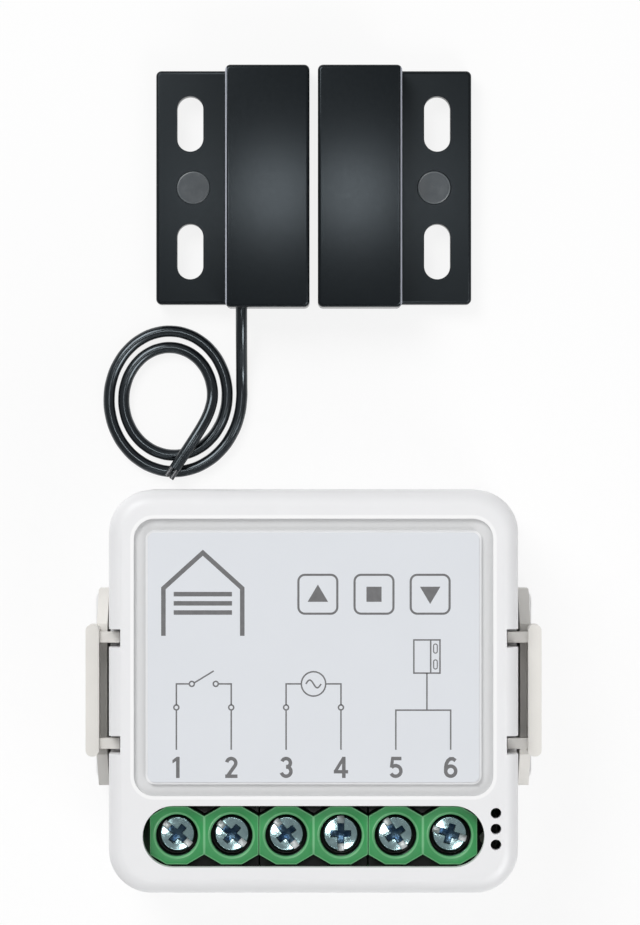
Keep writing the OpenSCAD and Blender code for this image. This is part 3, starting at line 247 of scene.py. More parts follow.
class Paint:
    """One procedural material: a Principled shader and the nodes that feed it."""

    def __init__(self, name, color, roughness, metallic=0.0):
        self.material = bpy.data.materials.new(name)
        self.material.use_nodes = True
        self.tree = self.material.node_tree
        self.shader = self.tree.nodes["Principled BSDF"]
        self.color = color
        self.tone = color
        self.roughness = roughness
        self.set("Base Color", (*color, 1))
        self.set("Roughness", roughness)
        self.set("Metallic", metallic)
        self.place = self.add("ShaderNodeTexCoord").outputs["Object"]

    def set(self, socket, value):
        """Writes a plain value on one of the shader's sockets."""
        self.shader.inputs[socket].default_value = value

    def feed(self, socket, source):
        """Links a source to one of the shader's sockets."""
        self.link(source, self.shader.inputs[socket])

    def link(self, source, target):
        self.tree.links.new(source, target)

    def add(self, kind, settings=None, **values):
        """New node with its settings and plain input values."""
        node = self.tree.nodes.new(kind)
        for key, value in (settings or {}).items():
            setattr(node, key, value)
        for key, value in values.items():
            node.inputs[key].default_value = value
        return node

    def stretched(self, scale):
        """The object's place, scaled by a different factor along each axis."""
        mapping = self.add("ShaderNodeMapping", Scale=scale)
        self.link(self.place, mapping.inputs["Vector"])
        return mapping.outputs["Vector"]

    def noise(self, size, detail, place=None):
        """Noise whose spots are about size millimetres wide, as a value near one half."""
        node = self.add("ShaderNodeTexNoise", Scale=1 / (size * MM), Detail=detail)
        self.link(place or self.place, node.inputs["Vector"])
        return node.outputs["Fac"]

    def cells(self, size, feature):
        """Distance inside cells about size millimetres wide."""
        node = self.add("ShaderNodeTexVoronoi", {"feature": feature}, Scale=1 / (size * MM))
        self.link(self.place, node.inputs["Vector"])
        return node.outputs["Distance"]

    def ramp(self, source, stops, ease="LINEAR"):
        """Colour of a value by stops of (position, colour)."""
        node = self.add("ShaderNodeValToRGB")
        node.color_ramp.interpolation = ease
        elements = node.color_ramp.elements
        while len(elements) < len(stops):
            elements.new(1.0)
        for element, (position, color) in zip(elements, stops):
            element.position = position
            element.color = (*color, 1)
        self.link(source, node.inputs["Fac"])
        return node.outputs["Color"]

    def span(self, source, low, high, to_low=0.0, to_high=1.0):
        """A value mapped from one range to another, held at the ends."""
        ends = {"From Min": low, "From Max": high, "To Min": to_low, "To Max": to_high}
        node = self.add("ShaderNodeMapRange", **ends)
        self.link(source, node.inputs["Value"])
        return node.outputs["Result"]

    def mix(self, factor, one, other):
        """One colour or the other by a factor; each is a socket or a plain colour."""
        node = self.add("ShaderNodeMix", {"data_type": "RGBA"})
        self.link(factor, node.inputs["Factor"])
        for key, value in (("A", one), ("B", other)):
            socket = next(s for s in node.inputs if s.name == key and s.type == "RGBA")
            if isinstance(value, tuple):
                socket.default_value = (*value, 1)
            else:
                self.link(value, socket)
        return next(s for s in node.outputs if s.type == "RGBA")

    def math(self, operation, *values):
        """A Math node over sockets and plain numbers."""
        node = self.add("ShaderNodeMath", {"operation": operation})
        for socket, value in zip(node.inputs, values):
            if isinstance(value, (int, float)):
                socket.default_value = value
            else:
                self.link(value, socket)
        return node.outputs[0]

    def both(self, one, other):
        """Where two masks meet."""
        return self.math("MULTIPLY", one, other)

    def gap(self, source, value):
        """How far a source is from a value, either way."""
        return self.math("ABSOLUTE", self.math("SUBTRACT", source, value))

    def distance(self, dx, dy):
        """Length of a step with these two sides."""
        return self.math("SQRT", self.square_sum(dx, dy))

    def square_sum(self, dx, dy):
        return self.math("ADD", self.math("MULTIPLY", dx, dx), self.math("MULTIPLY", dy, dy))

    def axis(self, name):
        """One coordinate of the object's place, in metres."""
        node = self.add("ShaderNodeSeparateXYZ")
        self.link(self.place, node.inputs["Vector"])
        return node.outputs[name]

    def rise(self, name, start, end):
        """None at start and one at end along an axis, with both in millimetres."""
        return self.span(self.axis(name), start * MM, end * MM)

    def off(self, name, centre):
        """How far a place is from a centre along an axis, in millimetres."""
        return self.gap(self.math("DIVIDE", self.axis(name), MM), centre)

    def line(self, source, middle, half, fade):
        """One within half of a middle value, falling to none over fade."""
        return self.span(self.gap(source, middle), half + fade, half)

    def outline(self, centre, reach, corner):
        """Distance outwards from a rectangle with round corners in X and Y, in millimetres."""
        sides = [
            self.math("SUBTRACT", self.off(name, middle), half - corner)
            for name, middle, half in zip("XY", centre, reach)
        ]
        outer = self.distance(*(self.math("MAXIMUM", side, 0) for side in sides))
        inner = self.math("MINIMUM", self.math("MAXIMUM", *sides), 0)
        return self.math("SUBTRACT", self.math("ADD", outer, inner), corner)

    def from_pole(self):
        """How far a place is from the nearest terminal's axis in X and in Y, in millimetres."""
        along = self.math("ADD", self.math("DIVIDE", self.axis("X"), MM), len(POLES) / 2 * PITCH)
        return self.gap(self.math("MODULO", along, PITCH), PITCH / 2), self.off("Y", TERMINAL_Y)

    def dome(self, dx, dy, radius):
        """Height of a shallow dome at distances from its middle; a negative radius makes a dish."""
        return self.math("DIVIDE", self.square_sum(dx, dy), -2 * radius)

    def grained(self, form, size, detail, height):
        """A form's height with noise of some millimetres on it."""
        return self.math("ADD", form, self.math("MULTIPLY", self.noise(size, detail), height))

    def mottle(self, size, share):
        """Slow change of the colour by a share of itself."""
        dark = tuple(c * (1 - share) for c in self.color)
        light = tuple(min(1, c * (1 + share)) for c in self.color)
        self.tone = self.ramp(self.noise(size, 3), [(NOISE_LOW, dark), (NOISE_HIGH, light)])
        self.feed("Base Color", self.tone)

    def worn(self, size, spread, place=None, more=None):
        """Roughness that wanders by spread around its written value, with more added where given."""
        low = self.roughness - spread
        high = self.roughness + spread
        value = self.span(self.noise(size, 4, place), NOISE_LOW, NOISE_HIGH, low, high)
        if more:
            value = self.math("ADD", value, more)
        self.feed("Roughness", value)

    def bump(self, height, depth):
        """Relief of depth millimetres from a height value."""
        node = self.add("ShaderNodeBump", Strength=1, Distance=depth * MM)
        self.link(height, node.inputs["Height"])
        self.feed("Normal", node.outputs["Normal"])

    def coat(self, node_name):
        """Gives the material to a frame node."""
        mesh = nodes[node_name].data
        mesh.materials.clear()
        mesh.materials.append(self.material)


def moulded(name, color, roughness, grain, depth, mottle):
    """Moulded plastic: a fine grain, slow tone changes and uneven gloss."""
    paint = Paint(name, color, roughness)
    paint.mottle(size=6, share=mottle)
    paint.worn(size=2.5, spread=0.05)
    paint.bump(paint.noise(grain, detail=3), depth)
    return paint


def metal(name, color, roughness, brush):
    """Bare or plated metal with fine drawn lines; brush gives their stretch along each axis."""
    scratch = 0.15
    paint = Paint(name, color, roughness, metallic=1.0)
    paint.mottle(size=1.2, share=0.08)
    lines = paint.stretched(brush)
    paint.worn(scratch, spread=0.1, place=lines)
    paint.bump(paint.noise(scratch, detail=2, place=lines), depth=0.003)
    return paint


def ribbed(name, color, roughness, pitch, along, depth, dark):
    """Wound or layered stuff: bands of one pitch across an axis, with darker gaps."""
    paint = Paint(name, color, roughness)
    turn = math.pi / (10 * pitch * MM)
    wave = paint.add("ShaderNodeTexWave", {"bands_direction": along}, Scale=turn)
    paint.link(paint.place, wave.inputs["Vector"])
    bands = wave.outputs["Fac"]
    shade = tuple(c * dark for c in color)
    paint.feed("Base Color", paint.ramp(bands, [(0.0, shade), (0.6, color)]))
    paint.bump(bands, depth)
    return paint


def case_paint():
    """White moulded plastic, with painted shade greying the floor of the label's channel and a painted
    highlight as a lighter line round its outer edge.
    """
    paint = moulded("case_plastic", CASE_WHITE, roughness=0.38, grain=0.22, depth=0.004, mottle=0.006)
    past = paint.outline(GROOVE_CENTRE, GROOVE_REACH, GROOVE_R)
    # Painted shade: the floor of the label's channel is greyed
    floor = paint.span(paint.off("Z", GROOVE_FLOOR_Z), low=0.24, high=0.12)
    groove_shade = paint.both(paint.span(past, low=0.08, high=0.03), floor)
    # Painted highlight: a lighter line just outside the channel on the top face
    top = paint.rise("Z", CASE_TOP_Z - 0.3, CASE_TOP_Z - 0.2)
    rim_highlight = paint.both(paint.line(past, middle=0.15, half=0.12, fade=0.12), top)
    paint.feed("Base Color", paint.mix(rim_highlight, paint.mix(groove_shade, paint.tone, GROOVE_SHADE_GREY), CASE_RIM_HIGHLIGHT))
    return paint


def terminal_paint():
    """Green moulded plastic, with painted highlights as lighter lines along its top edges and round the
    screw holes, and painted shade darkening it inside the screw holes and notches.
    """
    paint = moulded("terminal_plastic", TERMINAL_GREEN, roughness=0.36, grain=0.14, depth=0.004, mottle=0.05)
    dx, dy = paint.from_pole()
    hole = paint.distance(dx, dy)
    slant = paint.math("ADD", paint.math("MULTIPLY", dx, SLANT[0]), paint.math("MULTIPLY", dy, SLANT[1]))
    room = [paint.math("SUBTRACT", reach, value) for reach, value in zip(TOWER_REACH, (dx, dy, slant))]
    nearest = paint.math("MINIMUM", paint.math("MINIMUM", room[0], room[1]), room[2])
    # Painted highlight: lighter green along the towers' outer edges and the screw holes' edge, on the top
    outside = paint.span(nearest, low=0.15, high=0.05)
    edges = paint.math("MAXIMUM", outside, paint.line(hole, HOLE_R, half=0.06, fade=0.08))
    top = paint.rise("Z", TOWER_TOP_Z - 0.3, TOWER_TOP_Z - 0.2)
    edge_highlight = paint.mix(paint.both(edges, top), paint.tone, GREEN_EDGE_HIGHLIGHT)
    # Painted shade: dark green from just under the tower tops, in the notches away from the port face and
    # inside the screw holes
    shade_below_top = paint.rise("Z", TOWER_TOP_Z - 0.35, TOWER_TOP_Z - 1.1)
    above = paint.rise("Z", BLOCK_TOP_Z - 0.1, BLOCK_TOP_Z - 0.05)
    behind = paint.rise("Y", PORT_FACE_Y + 0.05, PORT_FACE_Y + 0.15)
    bored = paint.span(hole, HOLE_R, HOLE_R - 0.05)
    shaded_hollow = paint.math("MAXIMUM", paint.both(above, behind), bored)
    paint.feed("Base Color", paint.mix(paint.both(shade_below_top, shaded_hollow), edge_highlight, GREEN_SHADE))
    return paint


def zinc_paint():
    """Blue zinc plate, with painted shade that darkens the cross recess, a painted highlight that whitens
    the slot floor, and a slightly dished head.
    """
    paint = Paint("zinc_plate", ZINC_TOP, roughness=0.18, metallic=1.0)
    height = paint.rise("Z", SCREW_TOP_Z - 1, SCREW_TOP_Z)
    # Painted shade in the cross recess and a painted highlight on the slot floor, set by height
    tones_with_shade_and_highlight = (ZINC_RECESS_SHADE, ZINC_SLOT_HIGHLIGHT, ZINC_SLOT_HIGHLIGHT, ZINC_TOP)
    tone = paint.ramp(height, list(zip(SCREW_STEPS, tones_with_shade_and_highlight)))
    bare = paint.ramp(height, list(zip(SCREW_STEPS, (WHITE, BLACK, BLACK, WHITE))))
    paint.feed("Metallic", bare)
    stain = paint.span(paint.noise(size=0.5, detail=3), low=0.4, high=0.7, to_high=0.35)
    paint.feed("Base Color", paint.mix(paint.both(stain, bare), tone, ZINC_STAIN))
    paint.worn(size=0.3, spread=0.08)
    dish = paint.dome(*paint.from_pole(), -SCREW_DISH_R)
    paint.bump(paint.grained(dish, size=0.14, detail=2, height=0.012), depth=1)
    return paint


def contact_paint():
    """Black satin plastic, duller on the flange, with a faint crown on each face and a painted highlight as
    a light line along the step.
    """
    paint = Paint("contact_plastic", CONTACT_BLACK, roughness=0.23)
    paint.set("Specular IOR Level", 0.28)
    paint.set("Specular Tint", BLUE_GLOSS)
    paint.mottle(size=6, share=0.03)
    across = paint.off("X", 0)
    flange = paint.span(across, BODY_EDGE_X, BODY_EDGE_X + 0.1, to_high=FLANGE_DULL)
    paint.worn(size=0.4, spread=0.012, more=flange)
    from_ridge = paint.math("MINIMUM", paint.gap(across, BODY_X), paint.gap(across, FLANGE_X))
    crown = paint.dome(from_ridge, paint.off("Y", CROWN_Y), CROWN_R)
    paint.bump(paint.grained(crown, size=0.13, detail=3, height=0.003), depth=1)
    # Painted highlight: a light line along the top of the body's step to the flange
    step = paint.line(across, BODY_EDGE_X - 0.07, half=0.06, fade=0.04)
    top = paint.rise("Z", CONTACT_TOP_Z - 0.6, CONTACT_TOP_Z - 0.3)
    paint.feed("Base Color", paint.mix(paint.both(step, top), paint.tone, CONTACT_STEP_HIGHLIGHT))
    return paint


def board_paint():
    """Solder mask over copper tracks, with tinned pads away from the terminals."""
    paint = Paint("board_mask", BOARD_GREEN, roughness=0.35)
    track = paint.span(paint.cells(3.2, "DISTANCE_TO_EDGE"), low=0.1, high=0.13)
    dots = paint.span(paint.cells(2.6, "F1"), low=0.2, high=0.17)
    pad = paint.both(dots, paint.rise("Y", PADS_FROM_Y, PADS_FROM_Y + 1))
    masked = paint.mix(track, BOARD_TRACK, BOARD_GREEN)
    paint.feed("Base Color", paint.mix(pad, masked, BOARD_TIN))
    paint.feed("Metallic", pad)
    paint.bump(track, depth=-0.02)
    return paint


def can_paint(node_name):
    """Sleeved capacitor can: dark film with a pale stripe down one side and a bare metal top."""
    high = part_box(node_name)[1] / MM
    paint = Paint(node_name + "_sleeve", CAN_SLEEVE, roughness=0.25)
    sleeve = paint.mix(paint.rise("X", high.x - 0.9, high.x - 0.8), CAN_SLEEVE, CAN_STRIPE)
    top = paint.rise("Z", high.z - 0.35, high.z - 0.3)
    paint.feed("Base Color", paint.mix(top, sleeve, CAN_TOP))
    paint.feed("Metallic", top)
    paint.worn(size=0.8, spread=0.08)
    paint.bump(paint.noise(size=0.3, detail=2), depth=0.004)
    return paint


def resistor_paint():
    """Lacquered resistor body with colour rings along X."""
    low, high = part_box("fuse_resistor")
    ring_share = 0.08
    stops = [(0.0, RESISTOR_BODY)]
    for start, color in ((0.28, RESISTOR_RED), (0.45, RESISTOR_BROWN), (0.62, RESISTOR_GOLD)):
        stops += [(start, color), (start + ring_share, RESISTOR_BODY)]
    paint = Paint("resistor_lacquer", RESISTOR_BODY, roughness=0.4)
    along = paint.span(paint.axis("X"), low.x, high.x)
    paint.feed("Base Color", paint.ramp(along, stops, "CONSTANT"))
    paint.worn(size=0.6, spread=0.08)
    paint.bump(paint.noise(size=0.4, detail=3), depth=0.01)
    return paint


def glass_paint():
    """Clear green glass, a little wavy."""
    paint = Paint("reed_glass", GLASS_GREEN, roughness=0.06)
    paint.set("Transmission Weight", 1.0)
    paint.set("IOR", 1.5)
    paint.worn(size=0.6, spread=0.04)
    paint.bump(paint.noise(size=1.5, detail=2), depth=0.01)
    return paint


def resin_paint():
    """Milky resin of the light and the button."""
    paint = Paint("milky_resin", RESIN_CREAM, roughness=0.2)
    paint.set("Subsurface Weight", 0.4)
    paint.set("Subsurface Radius", (0.6 * MM, 0.5 * MM, 0.4 * MM))
    paint.mottle(size=0.5, share=0.03)
    paint.worn(size=0.4, spread=0.05)
    paint.bump(paint.noise(size=0.2, detail=2), depth=0.002)
    return paint


def cable_paint():
    """Soft black sheath: glossy, with slow dents and a fine grain."""
    paint = Paint("cable_sheath", CABLE_BLACK, roughness=0.2)
    paint.set("Specular IOR Level", 0.66)
    paint.set("Specular Tint", BLUE_GLOSS)
    paint.mottle(size=2.5, share=0.2)
    paint.worn(size=0.9, spread=0.04)
    paint.bump(paint.noise(size=0.6, detail=3), depth=0.007)
    return paint


def ink_paint():
    """Grey printing ink, a little uneven."""
    paint = Paint("label_ink", INK_GREY, roughness=0.55)
    paint.mottle(size=0.5, share=0.1)
    paint.worn(size=0.4, spread=0.08)
    paint.bump(paint.noise(size=0.12, detail=2), depth=0.002)
    return paint


def mark_paint():
    """Grey plastic of the round marks, with a painted highlight as a lighter ring at the outer edge."""
    paint = Paint("mark_plastic", MARK_GREY, roughness=0.34)
    paint.mottle(size=0.8, share=0.05)
    out = paint.distance(paint.gap(paint.off("X", 0), MARK_X), paint.off("Y", CONTACT_MID_Y))
    # Painted highlight: a lighter ring at the mark's outer edge
    rim_highlight = paint.line(out, MARK_RIM_R, half=0.04, fade=0.06)
    paint.feed("Base Color", paint.mix(rim_highlight, paint.tone, MARK_RIM_HIGHLIGHT))
    paint.worn(size=0.6, spread=0.03)
    paint.bump(paint.noise(size=0.15, detail=3), depth=0.003)
    return paint


def dress_nodes():
    """Gives every frame node and the cable its material."""
    latch = moulded("latch_plastic", LATCH_CREAM, roughness=0.42, grain=0.2, depth=0.005, mottle=0.012)
    label = moulded("label_film", LABEL_GREY, roughness=0.5, grain=0.09, depth=0.0015, mottle=0.008)
    base = moulded("base_plastic", CONTACT_BLACK, roughness=0.45, grain=0.13, depth=0.008, mottle=0.1)
    epoxy = moulded("chip_epoxy", EPOXY_BLACK, roughness=0.55, grain=0.08, depth=0.006, mottle=0.2)
    relay = moulded("relay_plastic", RELAY_BLUE, roughness=0.2, grain=0.5, depth=0.004, mottle=0.06)
    dip = moulded("varistor_dip", VARISTOR_BLUE, roughness=0.25, grain=0.9, depth=0.05, mottle=0.1)
    sheath = moulded("wire_sheath", WIRE_RED, roughness=0.35, grain=0.4, depth=0.01, mottle=0.02)
    brass = metal("brass_strip", BRASS, roughness=0.3, brush=(1, 1, 0.1))
    tinned = metal("tinned_core", TINNED, roughness=0.35, brush=(1, 0.2, 1))
    steel = metal("nickel_steel", STEEL, roughness=0.28, brush=(1, 0.1, 1))
    iron = ribbed("core_plates", IRON, roughness=0.5, pitch=0.5, along="Y", depth=0.02, dark=0.5)
    winding = ribbed("coil_wire", COPPER, roughness=0.3, pitch=0.12, along="Z", depth=0.03, dark=0.45)
    tape = ribbed("yellow_tape", TAPE_YELLOW, roughness=0.35, pitch=1.4, along="Z", depth=0.03, dark=0.75)
    for paint, names in (
        (case_paint(), ["front_shell", "rear_shell"]),
        (latch, ["latch_left", "latch_right"]),
        (label, ["front_label"]),
        (terminal_paint(), [f"terminal_block_{k}" for k in BLOCKS]),
        (zinc_paint(), [f"terminal_screw_{i}" for i in POLES]),
        (brass, [f"clamp_cage_{i}" for i in POLES]),
        (brass, ["terminal_tongues", "relay_contact"]),
        (tinned, ["cable_cores"]),
        (steel, ["relay_armature", "radio_shield", "reed_leads", "reed_blade", "bar_magnet"]),
        (iron, ["relay_frame", "transformer_core"]),
        (board_paint(), ["main_board", "radio_board"]),
        (epoxy, ["bridge_rectifier", "converter_chip", "relay_base", "switch_body"]),
        (relay, ["relay_cover"]),
        (dip, ["varistor"]),
        (winding, ["relay_coil"]),
        (tape, ["transformer_winding"]),
        (resin_paint(), ["status_light", "switch_plunger"]),
        (contact_paint(), ["sensor_housing", "magnet_housing"]),
        (base, ["sensor_base", "magnet_base"]),
        (can_paint("input_capacitor"), ["input_capacitor"]),
        (can_paint("output_capacitor"), ["output_capacitor"]),
        (resistor_paint(), ["fuse_resistor"]),
        (glass_paint(), ["reed_capsule"]),
        (sheath, ["sensor_wires"]),
    ):
        for name in names:
            paint.coat(name)
    cable.data.materials.append(cable_paint().material)


# Small roundings of sharp edges: their widths, and the angles in degrees that tell edges from flat faces
EDGE_WIDTHS = {
    "front_shell": 0.15,
    "rear_shell": 0.15,
    "latch_left": 0.15,
    "latch_right": 0.15,
    "sensor_housing": 0.12,
    "magnet_housing": 0.12,
}
SCREW_EDGE = 0.05
BLOCK_EDGE = 0.06
EDGE_ANGLE = 35
EDGE_SEGMENTS = 2
FLAT_ANGLE = 0.3
WELD_GAP = 0.001


def soften(node_name, width, join=True):
    """Rounds a frame node's sharp edges over its unchanged mesh; join makes flat faces whole first."""
    obj = nodes[node_name]
    weld = obj.modifiers.new("weld", "WELD")
    weld.merge_threshold = WELD_GAP * MM
    if join:
        flat = obj.modifiers.new("flat", "DECIMATE")
        flat.decimate_type = "DISSOLVE"
        flat.angle_limit = math.radians(FLAT_ANGLE)
    bevel = obj.modifiers.new("edge", "BEVEL")
    bevel.width = width * MM
    bevel.segments = EDGE_SEGMENTS
    bevel.limit_method = "ANGLE"
    bevel.angle_limit = math.radians(EDGE_ANGLE)
    bevel.miter_outer = "MITER_ARC"
    smooth = obj.modifiers.new("normals", "WEIGHTED_NORMAL")
    smooth.keep_sharp = False


def soften_nodes():
    for name, width in EDGE_WIDTHS.items():
        soften(name, width)
    for i in POLES:
        soften(f"terminal_screw_{i}", SCREW_EDGE)
    for k in BLOCKS:
        soften(f"terminal_block_{k}", BLOCK_EDGE, join=False)


def mesh_object(name, bm, paint):
    """New object in one material from a bmesh, which it frees."""
    mesh = bpy.data.meshes.new(name)
    bm.to_mesh(mesh)
    bm.free()
    mesh.materials.append(paint.material)
    piece = bpy.data.objects.new(name, mesh)
    scene.collection.objects.link(piece)
    return piece


# Printing on the label: ink sunk in the film, its face just clear of it
INK_T = 0.015
INK_PROUD = 0.001
LINE_W = 0.14
LINE_Y = -5.35
RING_R = 0.3
RING_Y = -1.43
RING_SIDES = 28
CORNER_SIDES = 6
FULL_TURN = 360
NUMBER_Y = -6.98
NUMBER_TOP = 0.985
NUMBER_W = 0.33
NUMBER_THIN = 0.29

# Wiring signs above the numbers
PAIR_Y = -1.68
SIGN_Y = 0.75
SWITCH_REACH = 1.2
SWITCH_LIFT = 0.1
SWITCH_TIP = (1.8, 1.2)
SOURCE_R = 1.2
WAVE_W = 1.4
WAVE_H = 0.36
WAVE_STEPS = 24
REED_X = 10.5
REED_Y = 1.75
REED_W = 2.42
REED_H = 3.07
REED_SPLIT = 0.35
REED_SLOT_X = (0.27, 0.61)
REED_SLOT_Y = 0.8
REED_SLOT_HALF = 0.42
REED_SLOT_R = 0.16
REED_SLOT_LINE = 0.1

# Garage front, and the up, stop and down signs
GARAGE_X = (-13.9, -6.6)
GARAGE_FOOT = 5.2
GARAGE_EAVE = 9.6
GARAGE_RIDGE = 12.9
GARAGE_LINE = 0.42
SLAT_COUNT = 3
SLAT_DROP = 0.75
SLAT_STEP = 0.85
SLAT_INSET = 0.95
BUTTONS = ((0.4, 1), (5.6, 0), (10.8, -1))
BUTTON_Y = 9.05
BUTTON_HALF = 1.8
BUTTON_R = 0.6
BUTTON_LINE = 0.2
ARROW_HALF = 0.95
ARROW_FOOT = 0.7
ARROW_TIP = 0.9
STOP_HALF = 0.7

# The joining of flat shapes: the kind of output asked for, and the gap that counts as none
JOIN_OUTPUT = 4
JOIN_GAP = 1e-5


def arc(x, y, r, start=0, turn=FULL_TURN, sides=RING_SIDES):
    """Points on a circle from start over turn degrees; a full turn leaves out the repeated point."""
    count = sides if abs(turn) == FULL_TURN else sides + 1
    angles = [math.radians(start + turn * i / sides) for i in range(count)]
    return [(x + r * math.cos(a), y + r * math.sin(a)) for a in angles]


def box(x0, y0, x1, y1):
    return [(x0, y0), (x1, y0), (x1, y1), (x0, y1)]


def rounded(x0, y0, x1, y1, r):
    """Points of a rectangle with round corners, anticlockwise."""
    return [
        *arc(x1 - r, y1 - r, r, 0, 90, CORNER_SIDES),
        *arc(x0 + r, y1 - r, r, 90, 90, CORNER_SIDES),
        *arc(x0 + r, y0 + r, r, 180, 90, CORNER_SIDES),
        *arc(x1 - r, y0 + r, r, 270, 90, CORNER_SIDES),
    ]


def band(points, width=LINE_W, closed=False):
    """Shapes of a line of one width through points, mitred at its corners."""
    count = len(points)
    sides = []
    for i, here in enumerate(points):
        ahead = points[(i + 1) % count] if closed or i + 1 < count else None
        back = points[i - 1] if closed or i else None
        normals = []
        for a, b in ((back, here), (here, ahead)):
            if a and b:
                size = math.dist(a, b)
                normals.append(Vector(((a[1] - b[1]) / size, (b[0] - a[0]) / size)))
        mitre = sum(normals, Vector((0, 0))).normalized()
        mitre *= width / 2 / mitre.dot(normals[0])
        middle = Vector(here)
        sides.append((tuple(middle + mitre), tuple(middle - mitre)))
    steps = range(count if closed else count - 1)
    return [[*sides[i], *reversed(sides[(i + 1) % count])] for i in steps]


def ring(x, y, r):
    """Shapes of a circle's line, r to its outside."""
    return band(arc(x, y, r - LINE_W / 2), closed=True)


def number(value, x, y):
    """Shapes of a plain number, two millimetres tall, round its middle."""
    w = NUMBER_W
    thin = NUMBER_THIN
    top = NUMBER_TOP
    flag = [(0.05, top), (-0.36, 0.68), (-0.36, 0.36), (-0.03, 0.58)]
    tail = [(-0.455, 0.02), (-0.39, 0.36), (-0.25, 0.63), (-0.04, 0.79), (0.2, 0.8), (0.45, 0.62)]
    strokes = {
        1: [[(0.3, -top), (0.3, top), *flag, (-0.03, -top)]],
        2: [
            *band([*arc(0, 0.4, 0.42, 170, -200, 16), (-0.32, -0.78)], w),
            box(-0.56, -top, 0.58, w - top),
        ],
        3: [
            *band(arc(0, 0.42, 0.4, 160, -250, 18), w),
            *band(arc(0, -0.37, 0.45, 90, -255, 18), w),
        ],
        4: [
            box(0.1, -top, 0.43, top),
            box(-0.66, -0.56, 0.66, -0.25),
            *band([(0.24, 0.88), (-0.53, -0.38)], thin),
        ],
        5: [
            box(-0.42, top - w, 0.52, top),
            *band([(-0.29, 0.9), (-0.41, -0.02)], thin),
            *band(arc(-0.02, -0.33, 0.49, 140, -290, 20), w),
        ],
        6: [
            *band(arc(0, -0.35, 0.465), w, closed=True),
            *band([(-0.465, -0.35), *tail], w),
        ],
    }
    return [[(x + px, y + py) for px, py in shape] for shape in strokes[value]]


def facing_up(shape):
    """The same points, turned anticlockwise."""
    area = sum(a[0] * b[1] - b[0] * a[1] for a, b in zip(shape, [*shape[1:], shape[0]]))
    return shape if area > 0 else shape[::-1]


def print_piece(name, shapes, ink):
    """Joins flat shapes without overlaps and makes them thin solids of ink on the label."""
    points, loops = [], []
    for shape in shapes:
        loops.append(list(range(len(points), len(points) + len(shape))))
        points += [Vector(p) for p in facing_up(shape)]
    joined = delaunay_2d_cdt(points, [], loops, JOIN_OUTPUT, JOIN_GAP)
    places, _, regions, _, _, sources = joined
    bm = bmesh.new()
    verts = [bm.verts.new((p.x * MM, p.y * MM, 0)) for p in places]
    for region, source in zip(regions, sources):
        if source:
            bm.faces.new([verts[i] for i in region])
    bmesh.ops.delete(bm, geom=[v for v in bm.verts if not v.link_faces], context="VERTS")
    grown = bmesh.ops.extrude_face_region(bm, geom=bm.faces[:], use_keep_orig=True)
    lifted = [v for v in grown["geom"] if isinstance(v, bmesh.types.BMVert)]
    bmesh.ops.translate(bm, vec=(0, 0, INK_T * MM), verts=lifted)
    bmesh.ops.recalc_face_normals(bm, faces=bm.faces[:])
    film_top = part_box("front_label")[1].z
    bmesh.ops.translate(bm, vec=(0, 0, film_top + (INK_PROUD - INK_T) * MM), verts=bm.verts[:])
    piece = mesh_object(name, bm, ink)
    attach(piece, "module")


def pole_x(i):
    """Middle of a terminal's screw, in millimetres."""
    low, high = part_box(f"terminal_screw_{i}")
    return (low.x + high.x) / 2 / MM


def line_shapes():
    """Pole lines: rings on the first four, a joined pair with a stub on the last two."""
    shapes = []
    for i in (1, 2, 3, 4):
        shapes += ring(pole_x(i), RING_Y, RING_R)
        shapes += band([(pole_x(i), LINE_Y), (pole_x(i), RING_Y - RING_R + LINE_W / 2)])
    left, right = pole_x(5), pole_x(6)
    shapes += band([(left, LINE_Y), (left, PAIR_Y), (right, PAIR_Y), (right, LINE_Y)])
    shapes += band([(REED_X, PAIR_Y), (REED_X, REED_Y)])
    return shapes


def switch_shapes():
    """An open contact over the first two poles."""
    shapes = []
    for i, s in ((1, 1), (2, -1)):
        x = pole_x(i)
        shapes += band([(x, RING_Y + RING_R - LINE_W / 2), (x, SIGN_Y), (x + s * SWITCH_REACH, SIGN_Y)])
        shapes += ring(x + s * (SWITCH_REACH + RING_R - LINE_W / 2), SIGN_Y, RING_R)
    pivot = pole_x(1) + SWITCH_REACH + 2 * RING_R - LINE_W
    shapes += band([(pivot, SIGN_Y + SWITCH_LIFT), (pivot + SWITCH_TIP[0], SIGN_Y + SWITCH_TIP[1])])
    return shapes


def source_shapes():
    """A mains source over the middle poles."""
    shapes = ring(0, SIGN_Y, SOURCE_R)
    for i, s in ((3, -1), (4, 1)):
        end = s * (SOURCE_R - LINE_W / 2)
        shapes += band([(pole_x(i), RING_Y + RING_R - LINE_W / 2), (pole_x(i), SIGN_Y), (end, SIGN_Y)])
    shares = [k / WAVE_STEPS for k in range(WAVE_STEPS + 1)]
    wave = [(WAVE_W * (t - 0.5), SIGN_Y + WAVE_H * math.sin(2 * math.pi * t)) for t in shares]
    shapes += band(wave)
    return shapes


def reed_shapes():
    """One half of a door contact over the last two poles."""
    left = REED_X - REED_W / 2
    right = REED_X + REED_W / 2
    top = REED_Y + REED_H
    split = REED_X + REED_SPLIT
    slot_left, slot_right = (split + x for x in REED_SLOT_X)
    shapes = band(box(left, REED_Y, right, top), closed=True)
    shapes += band([(split, REED_Y), (split, top)])
    for y in (REED_Y + REED_SLOT_Y, top - REED_SLOT_Y):
        slot = rounded(slot_left, y - REED_SLOT_HALF, slot_right, y + REED_SLOT_HALF, REED_SLOT_R)
        shapes += band(slot, REED_SLOT_LINE, closed=True)
    return shapes


